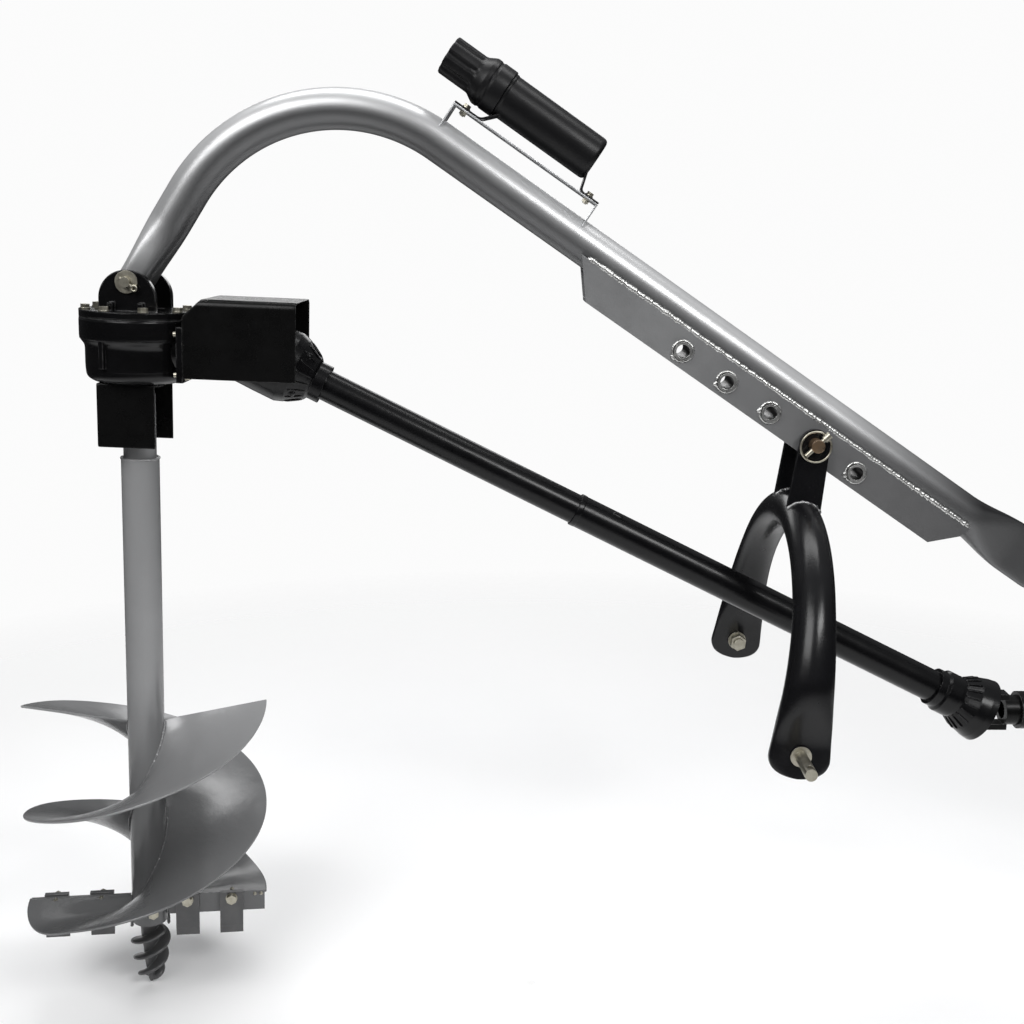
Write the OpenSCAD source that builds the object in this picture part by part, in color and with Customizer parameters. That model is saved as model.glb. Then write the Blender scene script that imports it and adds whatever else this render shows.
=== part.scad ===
// Tractor post hole auger: boom, gearbox, driveline, lift yoke and double flight auger.
// Millimetres. Origin at the top link bore, +X to the tractor, +Z up, boom in the plane Y = 0.

/* [Boom] */
// Slope of the straight boom, down towards the tractor
boom_slope = 34.5; // [25:0.5:40]
// Outside diameter of the boom tube
boom_od = 76.2; // [65:0.1:90]
// Wall of the boom tube
boom_wall = 5.5; // [3:0.5:10]
// Straight length from the top link bore to the bend
boom_straight = 1427; // [1400:1:1600]
// Centreline radius of the bend
bend_r = 336; // [260:1:400]
// Angle of the bend
bend_angle = 91; // [80:1:95]
// Straight length from the bend to the hanger pin
tip_len = 194; // [160:1:240]
// Thickness of the pressed tip, across the hanger pin
tip_flat = 50; // [44:1:60]
// Width of the pressed tip, along the hanger pin
tip_width = 92; // [80:1:98]
// Height of the flattened tongue at the tractor end
tongue_h = 104; // [80:1:130]
// Thickness of the flattened tongue
tongue_t = 22; // [14:1:34]
// Where the tube starts to flatten, from the top link bore
tongue_start = 165; // [120:1:200]
// Top link pin diameter
top_link_d = 19.3; // [18:0.1:26]
// Outside diameter of the top link bush
top_bush_od = 34; // [30:1:50]
// Length of the top link bush
top_bush_len = 46; // [30:1:70]

/* [Stiffener] */
// Plate thickness of the channel under the boom
channel_t = 6; // [4:0.5:8]
// Depth from the boom axis to the underside of the channel
channel_depth = 86; // [78:1:100]
// Depth from the boom axis to the channel's top edges
channel_top = 18; // [12:1:24]
// Near end of the channel's underside, from the top link bore
channel_near = 222; // [200:1:300]
// Far end of the channel's underside, from the top link bore
channel_far = 1037; // [960:1:1060]
// Number of yoke holes
bush_count = 5; // [3:1:5]
// First yoke hole, from the top link bore
bush_first = 422; // [380:1:450]
// Spacing of the yoke holes
bush_pitch = 103; // [95:1:110]
// Depth of the yoke holes under the boom axis
bush_depth = 56.5; // [54:0.5:60]
// Outside diameter of the yoke hole bushes
bush_od = 34.5; // [32:0.5:36]
// How far a bush stands out of the channel
bush_proud = 7; // [3:0.5:9]
// Which yoke hole is used, counted from the tractor
bush_used = 2; // [1:1:3]
// Radius of the weld bead
bead_r = 5; // [3:0.5:6]

/* [Canister] */
// Outside diameter of the document canister
can_od = 84; // [70:1:96]
// Length of the canister body up to the cap
can_len = 206; // [160:1:260]
// Wall of the canister
can_wall = 3; // [2:0.5:5]
// Height of the canister axis over the boom axis
can_height = 137; // [132:0.5:160]
// Closed end of the canister, from the top link bore
can_start = 1168; // [1130:1:1200]
// Outside diameter of the cap's skirt
cap_od = 93; // [88:1:104]
// Length of the cap's skirt
cap_skirt = 46; // [36:1:60]
// Diameter over the cap's grip
cap_grip_d = 74; // [66:1:86]
// Length of the cap's grip
cap_grip = 78; // [50:1:90]
// Height of the bracket's top plate over the boom axis
bracket_h = 73; // [66:1:88]
// Length of the bracket
bracket_len = 321; // [300:1:360]
// Width of the bracket
bracket_w = 62; // [50:1:72]
// Sheet thickness of the bracket
bracket_t = 3; // [2:0.5:4]

/* [Gearbox] */
// Tilt of the hanging gearbox
tilt = 2.4; // [0:0.1:4]
// Depth of the cover's top under the hanger pin
cover_top = 54; // [50:1:70]
// Thickness of the cover plate
cover_t = 13; // [10:1:20]
// Radius of the cover and the housing's upper band
band_r = 106; // [100:1:116]
// Height of the housing's upper band
band_h = 40; // [30:1:44]
// Radius of the housing body
body_r = 96; // [92:1:98]
// Depth of the input shaft axis under the hanger pin
input_depth = 125; // [118:1:126]
// Depth of the housing's underside under the hanger pin
body_bottom = 190; // [188:1:200]
// Wall of the housing
house_wall = 9; // [6:0.5:11]
// Radius of the input neck
neck_r = 57; // [50:1:60]
// Reach of the input neck
neck_end = 125; // [120:1:132]
// Radius of the hanger ears
ear_r = 53; // [40:1:60]
// Depth of the ears' rounding centre under the hanger pin
ear_drop = 31; // [0:1:36]
// Thickness of one hanger ear
ear_t = 12; // [8:1:16]
// Clear gap between the hanger ears
ear_gap = 102; // [100:1:110]
// Hanger pin diameter
hanger_d = 19.05; // [16:0.05:25]
// Number of cover bolts
cover_bolt_count = 8; // [6:1:10]
// Teeth on the ring gear
ring_teeth = 36; // [36:12:36]
// Teeth on the pinion
pinion_teeth = 12; // [12:1:12]
// Outer pitch radius of the ring gear
ring_r = 80; // [76:1:80]

/* [Guards] */
// Sheet thickness of the guards
guard_t = 3; // [2:0.5:4]
// Half width of the driveline guard
guard_half = 82; // [80:1:90]
// Gearbox end of the driveline guard
guard_x0 = 105; // [105:1:106]
// Open end of the driveline guard
guard_x1 = 316; // [280:1:330]
// Top of the driveline guard, under the hanger pin
guard_top = 25; // [20:1:32]
// Underside of the driveline guard, under the hanger pin
guard_bottom = 173; // [165:1:185]
// Half width of the shaft guard
shaft_guard_half = 66; // [60:1:72]
// Back of the shaft guard
shaft_guard_back = 63; // [56:1:72]
// Open edge of the shaft guard
shaft_guard_front = 48; // [40:1:60]
// Length of the shaft guard
shaft_guard_len = 121; // [100:1:130]

/* [Auger] */
// Flight diameter
flight_d = 485; // [305:1:610]
// Pitch of the flights, one turn each
flight_pitch = 461; // [400:1:480]
// Thickness of a flight
flight_t = 5; // [4:0.5:8]
// Depth of the flights' top edges under the hanger pin
flight_top = 848; // [820:1:880]
// How much lower a flight's inner edge is than its rim
flight_dish = 38; // [0:1:60]
// Turn of the flights and cutters about the pipe
flight_turn = 10; // [0:1:30]
// Outside diameter of the auger pipe
pipe_od = 73; // [72:0.1:90]
// Wall of the auger pipe
pipe_wall = 5; // [3:0.5:6]
// Depth of the pipe's top end under the hanger pin
pipe_top = 341; // [335:1:360]
// Output shaft diameter
shaft_d = 50.8; // [44:0.1:54]
// Depth of the output shaft's end under the hanger pin
shaft_end = 330; // [320:1:332]
// Depth of the hub sleeve's top under the hanger pin
hub_top = 215; // [212:1:230]
// How far the hub sleeve reaches into the pipe
hub_insert = 80; // [40:1:120]
// Height of a cutter plate
cutter_h = 44; // [40:1:80]
// Thickness of a cutter plate
cutter_t = 8; // [6:1:12]
// Width of a cutter tooth
tooth_w = 48; // [36:1:56]
// How much further out the teeth of the second plate sit
tooth_stagger = 20; // [0:1:24]
// Length of a cutter tooth
tooth_l = 98; // [86:1:110]
// Length of the pilot screw below the pipe
pilot_len = 150; // [110:1:190]
// Radius of the pilot screw at its top
pilot_r = 43; // [36:1:50]

/* [Driveline] */
// Distance of the gearbox joint from the output axis
joint_x = 231; // [228:1:240]
// Length between the two universal joints
drive_len = 1617; // [1500:1:1700]
// Slope of the driveline
drive_slope = 26.8; // [22:0.1:30]
// Outside diameter of the front shield tube
shield_in_od = 59.6; // [58:0.1:64]
// Outside diameter of the rear shield tube
shield_out_od = 65; // [64.5:0.1:72]
// Start of the rear shield tube, from the gearbox joint
shield_step = 686; // [600:1:800]
// End of the front shield tube, from the gearbox joint
shield_in_end = 1190; // [1000:1:1300]
// Wall of the front shield tube
shield_wall = 3; // [2:0.5:4]
// Mouth radius of the front bell
front_bell_r = 70; // [68:1:75]
// Mouth radius of the rear bell
rear_bell_r = 66; // [62:1:72]
// Width of the square drive bar
bar_w = 27; // [22:1:28]
// Width of the square drive tube
sleeve_w = 35; // [34:0.5:36]
// Spline diameter of the tractor yoke
spline_d = 34.9; // [34:0.1:36]

/* [Lift yoke] */
// Lean of the yoke, feet towards the auger
yoke_lean = 7; // [0:0.5:12]
// Distance from the yoke pin to the hitch pins
yoke_len = 519; // [510:1:560]
// Yoke tube diameter
yoke_od = 76.2; // [60:0.1:80]
// Wall of the yoke tube
yoke_wall = 5.5; // [3:0.5:10]
// Depth of the arch crown's centre under the yoke pin
crown_depth = 145; // [120:1:160]
// Centreline radius of the arch
arch_r = 320; // [270:1:325]
// Sweep of the arch to each side
arch_sweep = 84; // [80:1:88]
// Width of a flattened foot
foot_w = 112; // [90:1:130]
// Thickness of a flattened foot
foot_t = 18; // [12:1:24]
// Round drop of a foot below its hitch pin
foot_drop = 44; // [40:1:60]
// Thickness of a yoke ear
yoke_ear_t = 10; // [8:1:12]
// Head radius of a yoke ear
yoke_ear_r = 29; // [26:1:34]
// Yoke pin diameter
yoke_pin_d = 25.4; // [22:0.1:26]
// Lower hitch pin diameter
hitch_d = 22.2; // [20:0.1:28]
// Distance between the lower hitch shoulders
hitch_spread = 683; // [680:1:740]
// Length of a lower hitch pin outside its shoulder
hitch_len = 78; // [60:1:100]
// Wire diameter of the lynch pin's ring
ring_wire = 4; // [3:0.5:5]
// Inside width of the lynch pin's ring
ring_w = 54; // [50:1:60]

/* [Fits] */
// Radial clearance of a turning pin in its bore
run_fit = 0.05; // [0.03:0.01:0.1]
// Radial clearance of a welded or bolted piece
seat_fit = 0.1; // [0.05:0.05:0.2]
// Clearance between pieces that pass each other
pass_gap = 0.4; // [0.3:0.1:1]

/* [Hidden] */
$fn = 64;
eps = 0.01;

// Boom: local +X runs down to the tractor, local +Z is the upper side
boom_r = boom_od / 2;
tip_turn = 90 + bend_angle;
tip_x = -boom_straight + bend_r * cos(tip_turn) - tip_len * sin(tip_turn);
tip_z = -bend_r + bend_r * sin(tip_turn) + tip_len * cos(tip_turn);
pin_x = tip_x * cos(boom_slope) + tip_z * sin(boom_slope);
pin_z = -tip_x * sin(boom_slope) + tip_z * cos(boom_slope);
tip_end_r = tip_flat / 2 + 4;
tip_squash = 90;
tip_bush_od = 42;
tip_bush_half = ear_gap / 2 - pass_gap;
tongue_full = 58;
press_step = 1.2;
bend_thin = 0.3;
tube_lap = 1;
drain_r = 5;
channel_half = boom_r + 0.3 + channel_t;
bush_half = channel_half + bush_proud;
channel_flare = 57;
channel_toe = 9;
can_r = can_od / 2;
cap_r = cap_od / 2;
cap_wall = 3;
bracket_x0 = -(can_start - 48 + bracket_len);
bracket_x1 = -(can_start - 48);
can_bolt_inset = 22;
can_bolt_d = 8;
foot_pad_t = 4;
front_pad = 56;
rear_pad = 42;

// Gearbox: local origin at the hanger pin
cover_under = cover_top + cover_t;
gasket_t = 1;
house_top = cover_under + gasket_t;
ear_mid = ear_gap / 2 + ear_t / 2;
ear_out = ear_gap / 2 + ear_t;
bolt_circle = band_r - 12;
cover_bolt_d = 10;
apex_drop = ring_r * pinion_teeth / ring_teeth;
ring_cone = atan(pinion_teeth / ring_teeth);
ring_face = 28;
shaft_r = shaft_d / 2;
top_journal_r = 19;
pinion_shaft_r = spline_d / 2;
bearing_w = 16;
bearing_r = 38;
out_bearing_r = 44;
out_boss_r = 49;
neck_flange_x = guard_x0 - 12;
flange_half = guard_half - guard_t - pass_gap;
guard_tab = 24;
guard_bolt_d = 10;
guard_bolt_y = flange_half - 12;
guard_bolt_drop = 38;
shaft_guard_top = body_bottom + pass_gap;
shaft_tab = 22;

// Auger: same local frame as the gearbox, along -Z
flight_r = flight_d / 2;
pipe_r = pipe_od / 2;
pipe_end = flight_top + flight_pitch + 25;
hub_r = pipe_r - pipe_wall - seat_fit;
flight_in = pipe_r + 0.15;
cutter_x0 = pipe_r + 2;
cutter_x1 = flight_r - 4;
cutter_top = flight_top + flight_pitch - cutter_h + 13;
tooth_xs = [pipe_r + 42, pipe_r + 133];
tooth_top = cutter_top - 4;
tooth_bolt_drop = 13;
pilot_bolt_turn = 25;
tooth_t = 10;
tooth_bolt_d = 12;

// Universal joints: local +X along the shaft, arms along Y or Z
arm_in = 26;
arm_out = 38;
eye_r = 15;
cup_r = 11;
fork_depth = 44;
hub_yoke_r = 30;
shear_place = 32;
cross_r = 15;
front_groove = 104;
rear_groove = 80;
ring_groove_w = 10;
ring_seat_r = 40;
neck_yoke_r = 26;
shield_in_r = shield_in_od / 2;
shield_out_r = shield_out_od / 2;
shield_out_bore = shield_in_r + pass_gap;
rear_bell_back = 98;
bar_end = 1150;
sleeve_start = 640;

// Lift yoke: local origin at the yoke pin, the arch along -Z
yoke_pin_s = bush_first + (bush_used - 1) * bush_pitch;
yoke_x = -yoke_pin_s * cos(boom_slope) - bush_depth * sin(boom_slope);
yoke_z = yoke_pin_s * sin(boom_slope) - bush_depth * cos(boom_slope);
yoke_r = yoke_od / 2;
leg_y0 = arch_r * sin(arch_sweep);
leg_z0 = -crown_depth - arch_r + arch_r * cos(arch_sweep);
leg_splay = 90 - arch_sweep;
foot_y = leg_y0 + (yoke_len + leg_z0) * tan(leg_splay);
foot_run = (yoke_len + leg_z0) / cos(leg_splay);
ear_y0 = bush_half + 2.5;
shoulder_y = hitch_spread / 2;
yoke_pin_near = ear_y0 + yoke_ear_t + 26;
yoke_pin_far = ear_y0 + yoke_ear_t + 2;
lynch_y = yoke_pin_near - 9;
lynch_d = 9;
lynch_turn = 40;
lynch_head_r = 7.5;
lynch_hole_z = 24;
loop_r = ring_w / 2 + ring_wire / 2;
ring_half_gap = lynch_head_r + ring_wire / 2 + 0.6;
loop_turn = asin(ring_half_gap / loop_r);
loop_drop = loop_r * cos(loop_turn);

module in_boom() rotate([0, boom_slope, 0]) children();
module in_gearbox() translate([pin_x, 0, pin_z]) rotate([0, tilt, 0]) children();
module in_front() in_gearbox() translate([joint_x, 0, -input_depth])
    rotate([0, drive_slope - tilt, 0]) children();
module in_rear() in_front() translate([drive_len, 0, 0]) children();
module in_tractor() in_rear() rotate([0, -drive_slope, 0]) children();
module in_yoke() translate([yoke_x, 0, yoke_z]) rotate([0, yoke_lean, 0]) children();
module both_sides() { children(); mirror([0, 1, 0]) children(); }
module opposite() {
    let($stagger = 0) children();
    rotate([0, 0, 180]) let($stagger = tooth_stagger) children();
}
module in_flights() in_gearbox() rotate(flight_turn) children();

// Bars and rings along one axis, between two stations
module rod_x(r, a, b) translate([a, 0, 0]) rotate([0, 90, 0]) cylinder(r = r, h = b - a);
module rod_y(r, a, b) translate([0, b, 0]) rotate([90, 0, 0]) cylinder(r = r, h = b - a);
module rod_z(r, a, b) translate([0, 0, a]) cylinder(r = r, h = b - a);
module ring_x(ro, ri, a, b) difference() { rod_x(ro, a, b); rod_x(ri, a - 1, b + 1); }
module ring_y(ro, ri, a, b) difference() { rod_y(ro, a, b); rod_y(ri, a - 1, b + 1); }
module ring_z(ro, ri, a, b) difference() { rod_z(ro, a, b); rod_z(ri, a - 1, b + 1); }
module slab(x0, x1, y0, y1, z0, z1) translate([x0, y0, z0]) cube([x1 - x0, y1 - y0, z1 - z0]);
module hex_z(flats, a, b) translate([0, 0, a]) rotate(30)
    cylinder(r = flats / sqrt(3), h = b - a, $fn = 6);
module side_plate(half) rotate([90, 0, 0]) linear_extrude(2 * half, center = true) children();

// A hexagon bolt along Z with its head above z = 0
module bolt_z(d, shank, head_h = 0.65) {
    hex_z(1.6 * d, 2.5, 2.5 + head_h * d);
    rod_z(d, 0, 2.5);
    rod_z(d / 2, -shank, eps);
}

// Boom
module boom_core(r) {
    rod_x(r, -boom_straight - tube_lap, -tongue_start, $fn = 48);
    translate([-boom_straight, 0, -bend_r]) rotate([90, 0, 0]) rotate([0, 0, 90])
        rotate_extrude(angle = bend_angle, $fn = 64) translate([bend_r, 0])
            circle(r = r - bend_thin, $fn = 48);
    at_tip() rod_x(r, tip_squash, tip_len + tube_lap, $fn = 48);
}
module at_tip() translate([tip_x, 0, tip_z]) rotate([0, 90 - tip_turn, 0]) children();
module boom_tube() color("silver") in_boom() {
    difference() {
        boom_core(boom_r);
        boom_core(boom_r - boom_wall);
        translate([-tongue_start - 40, 0, 0]) rod_z(drain_r, -boom_od, 0);
    }
    difference() {
        at_tip() hull() {
            rod_x(boom_r - press_step, tip_squash - 1, tip_squash + 2, $fn = 48);
            side_plate(tip_width / 2) circle(r = tip_end_r, $fn = 48);
        }
        at_tip() rod_y(tip_bush_od / 2 + seat_fit, -tip_width, tip_width);
    }
    difference() {
        union() {
            hull() {
                rod_x(boom_r - press_step, -tongue_start - 2, -tongue_start + 1, $fn = 48);
                slab(-tongue_full, -tongue_full + 1, -tongue_t / 2 + press_step,
                    tongue_t / 2 - press_step, -tongue_h / 2 + press_step, tongue_h / 2 - press_step);
            }
            side_plate(tongue_t / 2) union() {
                translate([-tongue_full - 3, -tongue_h / 2]) square([tongue_full + 3, tongue_h]);
                circle(r = tongue_h / 2);
            }
        }
        rod_y(top_bush_od / 2 + seat_fit, -boom_r, boom_r);
    }
}
module boom_tip_bush() color("silver") in_boom() at_tip()
    ring_y(tip_bush_od / 2, hanger_d / 2 + run_fit, -tip_bush_half, tip_bush_half);
module top_link_bush() color("dimgray") in_boom()
    ring_y(top_bush_od / 2, top_link_d / 2, -top_bush_len / 2, top_bush_len / 2);
module channel_outline(inset) polygon([
    [-channel_far - channel_flare, -channel_top], [-channel_far, -channel_depth + inset],
    [-channel_near, -channel_depth + inset], [-channel_near + 45, -channel_depth + 45],
    [-channel_near + 45 + channel_toe, -channel_top]]);
module at_bushes() for (i = [0 : bush_count - 1])
    translate([-bush_first - i * bush_pitch, 0, -bush_depth]) children();
module stiffener_channel() color("darkgray") in_boom() {
    difference() {
        side_plate(channel_half) channel_outline(0);
        slab(-boom_straight, 0, -channel_half + channel_t, channel_half - channel_t,
            -channel_depth + channel_t, 0);
        at_bushes() rod_y(bush_od / 2 + seat_fit, -boom_od, boom_od);
    }
    both_sides() translate([-channel_near + 45 + channel_toe - 8, 0, 0]) rotate([0, -90, 0])
        linear_extrude(channel_far - channel_near + channel_flare + 30) difference() {
            translate([-channel_top + 1, channel_half - channel_t]) circle(r = bead_r);
            circle(r = boom_r);
            translate([-channel_depth, -channel_half]) square([channel_depth - channel_top,
                3 * boom_r]);
        }
}
module pin_bushes() color("silver") in_boom() at_bushes()
    ring_y(bush_od / 2, yoke_pin_d / 2 + run_fit, -bush_half, bush_half);

// Canister and its bracket
module bracket_leg() difference() {
    slab(0, bracket_t, -bracket_w / 2, bracket_w / 2, 12, bracket_h);
    rod_x(boom_r + seat_fit, -1, bracket_t + 1);
}
module bracket_toe() both_sides() difference() {
    slab(-7, 0, bracket_w / 2 - 12, bracket_w / 2, 12, 12 + bracket_t);
    rod_x(boom_r + seat_fit, -20, 1);
}
module can_bolt_places() for (x = [bracket_x0 + can_bolt_inset, bracket_x1 - can_bolt_inset])
    translate([x, 0, bracket_h]) children();
module canister_bracket() color("lightgray") in_boom() {
    difference() {
        slab(bracket_x0, bracket_x1, -bracket_w / 2, bracket_w / 2, bracket_h - bracket_t, bracket_h);
        can_bolt_places() rod_z(can_bolt_d / 2 + seat_fit, -10, 10);
    }
    translate([bracket_x0, 0, 0]) bracket_leg();
    translate([bracket_x1 - bracket_t, 0, 0]) bracket_leg();
    translate([bracket_x0, 0, 0]) bracket_toe();
    translate([bracket_x1, 0, 0]) mirror([1, 0, 0]) bracket_toe();
}
module canister_body() color("#1b1c1e") in_boom() {
    difference() {
        union() {
            translate([-can_start, 0, can_height]) {
                rod_x(can_r, -can_len, 0);
                rod_x(cap_r - cap_wall - pass_gap, -can_len - cap_skirt + 8, -can_len);
            }
            side_plate(bracket_w / 2 - 8) polygon([
                [bracket_x0, bracket_h], [bracket_x0, bracket_h + foot_pad_t],
                [bracket_x0 + front_pad, bracket_h + foot_pad_t],
                [bracket_x0 + front_pad + 24, can_height - can_r + 8],
                [bracket_x0 + front_pad + 32, can_height - can_r + 8],
                [bracket_x0 + front_pad + 10, bracket_h]]);
            side_plate(bracket_w / 2 - 8) polygon([
                [bracket_x1, bracket_h], [bracket_x1, bracket_h + foot_pad_t],
                [bracket_x1 - rear_pad + 5, bracket_h + foot_pad_t],
                [-can_start - 1, can_height - can_r + 12],
                [-can_start - 7, can_height - can_r + 12],
                [bracket_x1 - rear_pad, bracket_h]]);
        }
        translate([-can_start, 0, can_height])
            rod_x(can_r - can_wall, -can_len - cap_skirt, -can_wall);
        can_bolt_places() rod_z(can_bolt_d / 2 + seat_fit, -1, 10);
    }
}
module canister_cap() color("#222326") in_boom() translate([-can_start - can_len - pass_gap, 0,
    can_height])
    difference() {
        union() {
            rod_x(cap_r, -cap_skirt, 0);
            translate([-cap_skirt, 0, 0]) rotate([0, -90, 0])
                cylinder(r1 = cap_r - 1, r2 = cap_grip_d / 2 - 2, h = 12);
            difference() {
                rod_x(cap_grip_d / 2, -cap_skirt - cap_grip, -cap_skirt);
                for (i = [0 : 7]) rotate([i * 45, 0, 0])
                    translate([0, 0, cap_grip_d / 2 + 24]) rod_x(27, -cap_skirt - cap_grip - 1,
                        -cap_skirt - 14);
            }
        }
        rod_x(cap_r - cap_wall, -cap_skirt + cap_wall, 1);
        rod_x(cap_grip_d / 2 - 8, -cap_skirt - cap_grip + cap_wall, 0);
    }
module canister_bolts() color("gainsboro") in_boom() can_bolt_places() {
    translate([0, 0, foot_pad_t]) bolt_z(can_bolt_d, foot_pad_t + bracket_t + 9);
    translate([0, 0, -bracket_t - 6]) difference() {
        hex_z(1.6 * can_bolt_d, -1, 6);
        rod_z(can_bolt_d / 2 + seat_fit, -2, 7);
    }
}

// Gearbox
module gearbox_housing() color("#17181a") in_gearbox() difference() {
    union() {
        rotate_extrude() polygon([[0, -body_bottom], [body_r - 24, -body_bottom],
            [body_r - 10, -body_bottom + 4], [body_r - 3, -body_bottom + 12], [body_r,
                -body_bottom + 24],
            [body_r, -house_top - band_h - 8], [band_r, -house_top - band_h],
            [band_r, -house_top], [0, -house_top]]);
        translate([0, 0, -input_depth]) rod_x(neck_r, 0, neck_end);
        translate([0, 0, -input_depth]) {
            slab(neck_flange_x, guard_x0, -flange_half, flange_half, -neck_r, neck_r - 10);
            for (y = [-18, 18]) slab(body_r - 12, neck_end - 6, y - 4, y + 4, neck_r - 4, neck_r + 8);
        }
        for (a = [45 : 90 : 315]) rotate(a + 22)
            slab(body_r - 4, band_r - 1, -5, 5, -body_bottom + 30, -house_top - 5);
        rod_z(out_boss_r, -body_bottom - 8, -body_bottom + 1);
    }
    rod_z(band_r + 1, -house_top, 0);
    rod_z(body_r - house_wall, -body_bottom + house_wall + bearing_w, -house_top + 1);
    rod_z(out_bearing_r + seat_fit, -body_bottom + house_wall, -body_bottom + 40);
    rod_z(shaft_r + 8, -body_bottom - 20, 0);
    rod_z(shaft_r + 14, -body_bottom - 9, -body_bottom + 1);
    translate([0, 0, -input_depth]) {
        rod_x(bearing_r + seat_fit, body_r - 16, neck_end + 1);
    }
    for (i = [0 : cover_bolt_count - 1]) rotate((i + 0.5) * 360 / cover_bolt_count)
        translate([bolt_circle, 0, 0]) rod_z(cover_bolt_d / 2 + seat_fit, -house_top - 24, 0);
    translate([0, 0, -input_depth]) at_guard_bolts() rod_x(guard_bolt_d / 2 + seat_fit, -20, 20);
    at_shaft_guard_bolts() rod_z(guard_bolt_d / 2 + seat_fit, -20, 14);
}
module at_guard_bolts() for (y = [-1, 1], z = [-1, 1])
    translate([guard_x0, y * guard_bolt_y, z * guard_bolt_drop - 5]) children();
module at_shaft_guard_bolts() for (x = [-1, 1], y = [-1, 1])
    translate([x * 36 - 6, y * (shaft_guard_half - 13), -body_bottom]) children();
module gearbox_cover() color("#1a1b1d") in_gearbox() difference() {
    union() {
        rod_z(band_r, -cover_under, -cover_top);
        both_sides() translate([0, ear_mid, 0]) side_plate(ear_t / 2) union() {
            translate([0, -ear_drop]) circle(r = ear_r);
            translate([-ear_r, -cover_top - 1]) square([2 * ear_r, cover_top + 1 - ear_drop]);
        }
        both_sides() for (x = [-28, 28])
            slab(x - 5, x + 5, ear_out - 1, ear_out + 14, -cover_top - 1, -cover_top + 16);
        rod_z(bearing_r + 7, -cover_under - bearing_w + 2, -cover_under);
    }
    both_sides() rod_y(hanger_d / 2 + run_fit, ear_gap / 2 - 1, ear_out + 1);
    rod_z(bearing_r + seat_fit, -cover_under - bearing_w, -cover_under + 1);
    translate([-66, 0, 0]) rod_z(12, -cover_under - 1, 0);
    for (i = [0 : cover_bolt_count - 1]) rotate((i + 0.5) * 360 / cover_bolt_count)
        translate([bolt_circle, 0, 0]) rod_z(cover_bolt_d / 2 + seat_fit, -cover_under - 1,
            -cover_top + 1);
}
module cover_gasket() color("#555") in_gearbox() difference() {
    ring_z(band_r - 1, body_r - house_wall + 1, -house_top, -cover_under);
    for (i = [0 : cover_bolt_count - 1]) rotate((i + 0.5) * 360 / cover_bolt_count)
        translate([bolt_circle, 0, 0]) rod_z(cover_bolt_d / 2 + seat_fit, -house_top - 1, -cover_top);
}
module cover_bolts() color("#b9b7a8") in_gearbox()
    for (i = [0 : cover_bolt_count - 1]) rotate((i + 0.5) * 360 / cover_bolt_count)
        translate([bolt_circle, 0, -cover_top]) bolt_z(cover_bolt_d, cover_t + 18);
module hanger_pin() color("#b3ad9a") in_gearbox() difference() {
    union() {
        rod_y(hanger_d / 2, -ear_out - 16, ear_out + 4);
        rod_y(hanger_d / 2 + 6, ear_out + 4, ear_out + 13);
    }
    translate([0, -ear_out - 9, 0]) rotate([0, 35, 0]) rod_x(3, -30, 30);
}
module hanger_washers() color("#b8b29c") in_gearbox() {
    ring_y(21, hanger_d / 2 + seat_fit, -ear_out - 4, -ear_out);
    ring_y(21, hanger_d / 2 + seat_fit, ear_out, ear_out + 4);
}
module hanger_cotters() color("#c8c4b4") in_gearbox() translate([0, -ear_out - 9, 0])
    rotate([0, 35, 0]) {
        rod_x(2.8, -13, 16);
        translate([19, 0, 0]) rotate([90, 0, 0]) rotate_extrude() translate([5, 0]) circle(r = 2.2);
    }
module fill_plug() color("#9c9a90") in_gearbox() translate([-66, 0, 0]) {
    rod_z(12 - seat_fit, -cover_under, -cover_top + eps);
    hex_z(26, -cover_top, -cover_top + 12);
}
module pinion_bearings() color("#8d9095") in_gearbox() translate([0, 0, -input_depth])
    for (x = [body_r - 14, body_r + 4])
        ring_x(bearing_r, pinion_shaft_r + run_fit, x, x + bearing_w - 2);
module input_seal() color("#2a2a2a") in_gearbox() translate([0, 0, -input_depth])
    ring_x(bearing_r, pinion_shaft_r + run_fit, body_r + 20, neck_end);
module output_bearings() color("#8d9095") in_gearbox() {
    ring_z(bearing_r, top_journal_r + run_fit, -cover_under - bearing_w + 2, -cover_under);
    ring_z(out_bearing_r, shaft_r + run_fit, -body_bottom + house_wall,
        -body_bottom + house_wall + bearing_w);
}
module output_seal() color("#2a2a2a") in_gearbox()
    ring_z(shaft_r + 14 - seat_fit, shaft_r + run_fit, -body_bottom - 8, -body_bottom);

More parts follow.
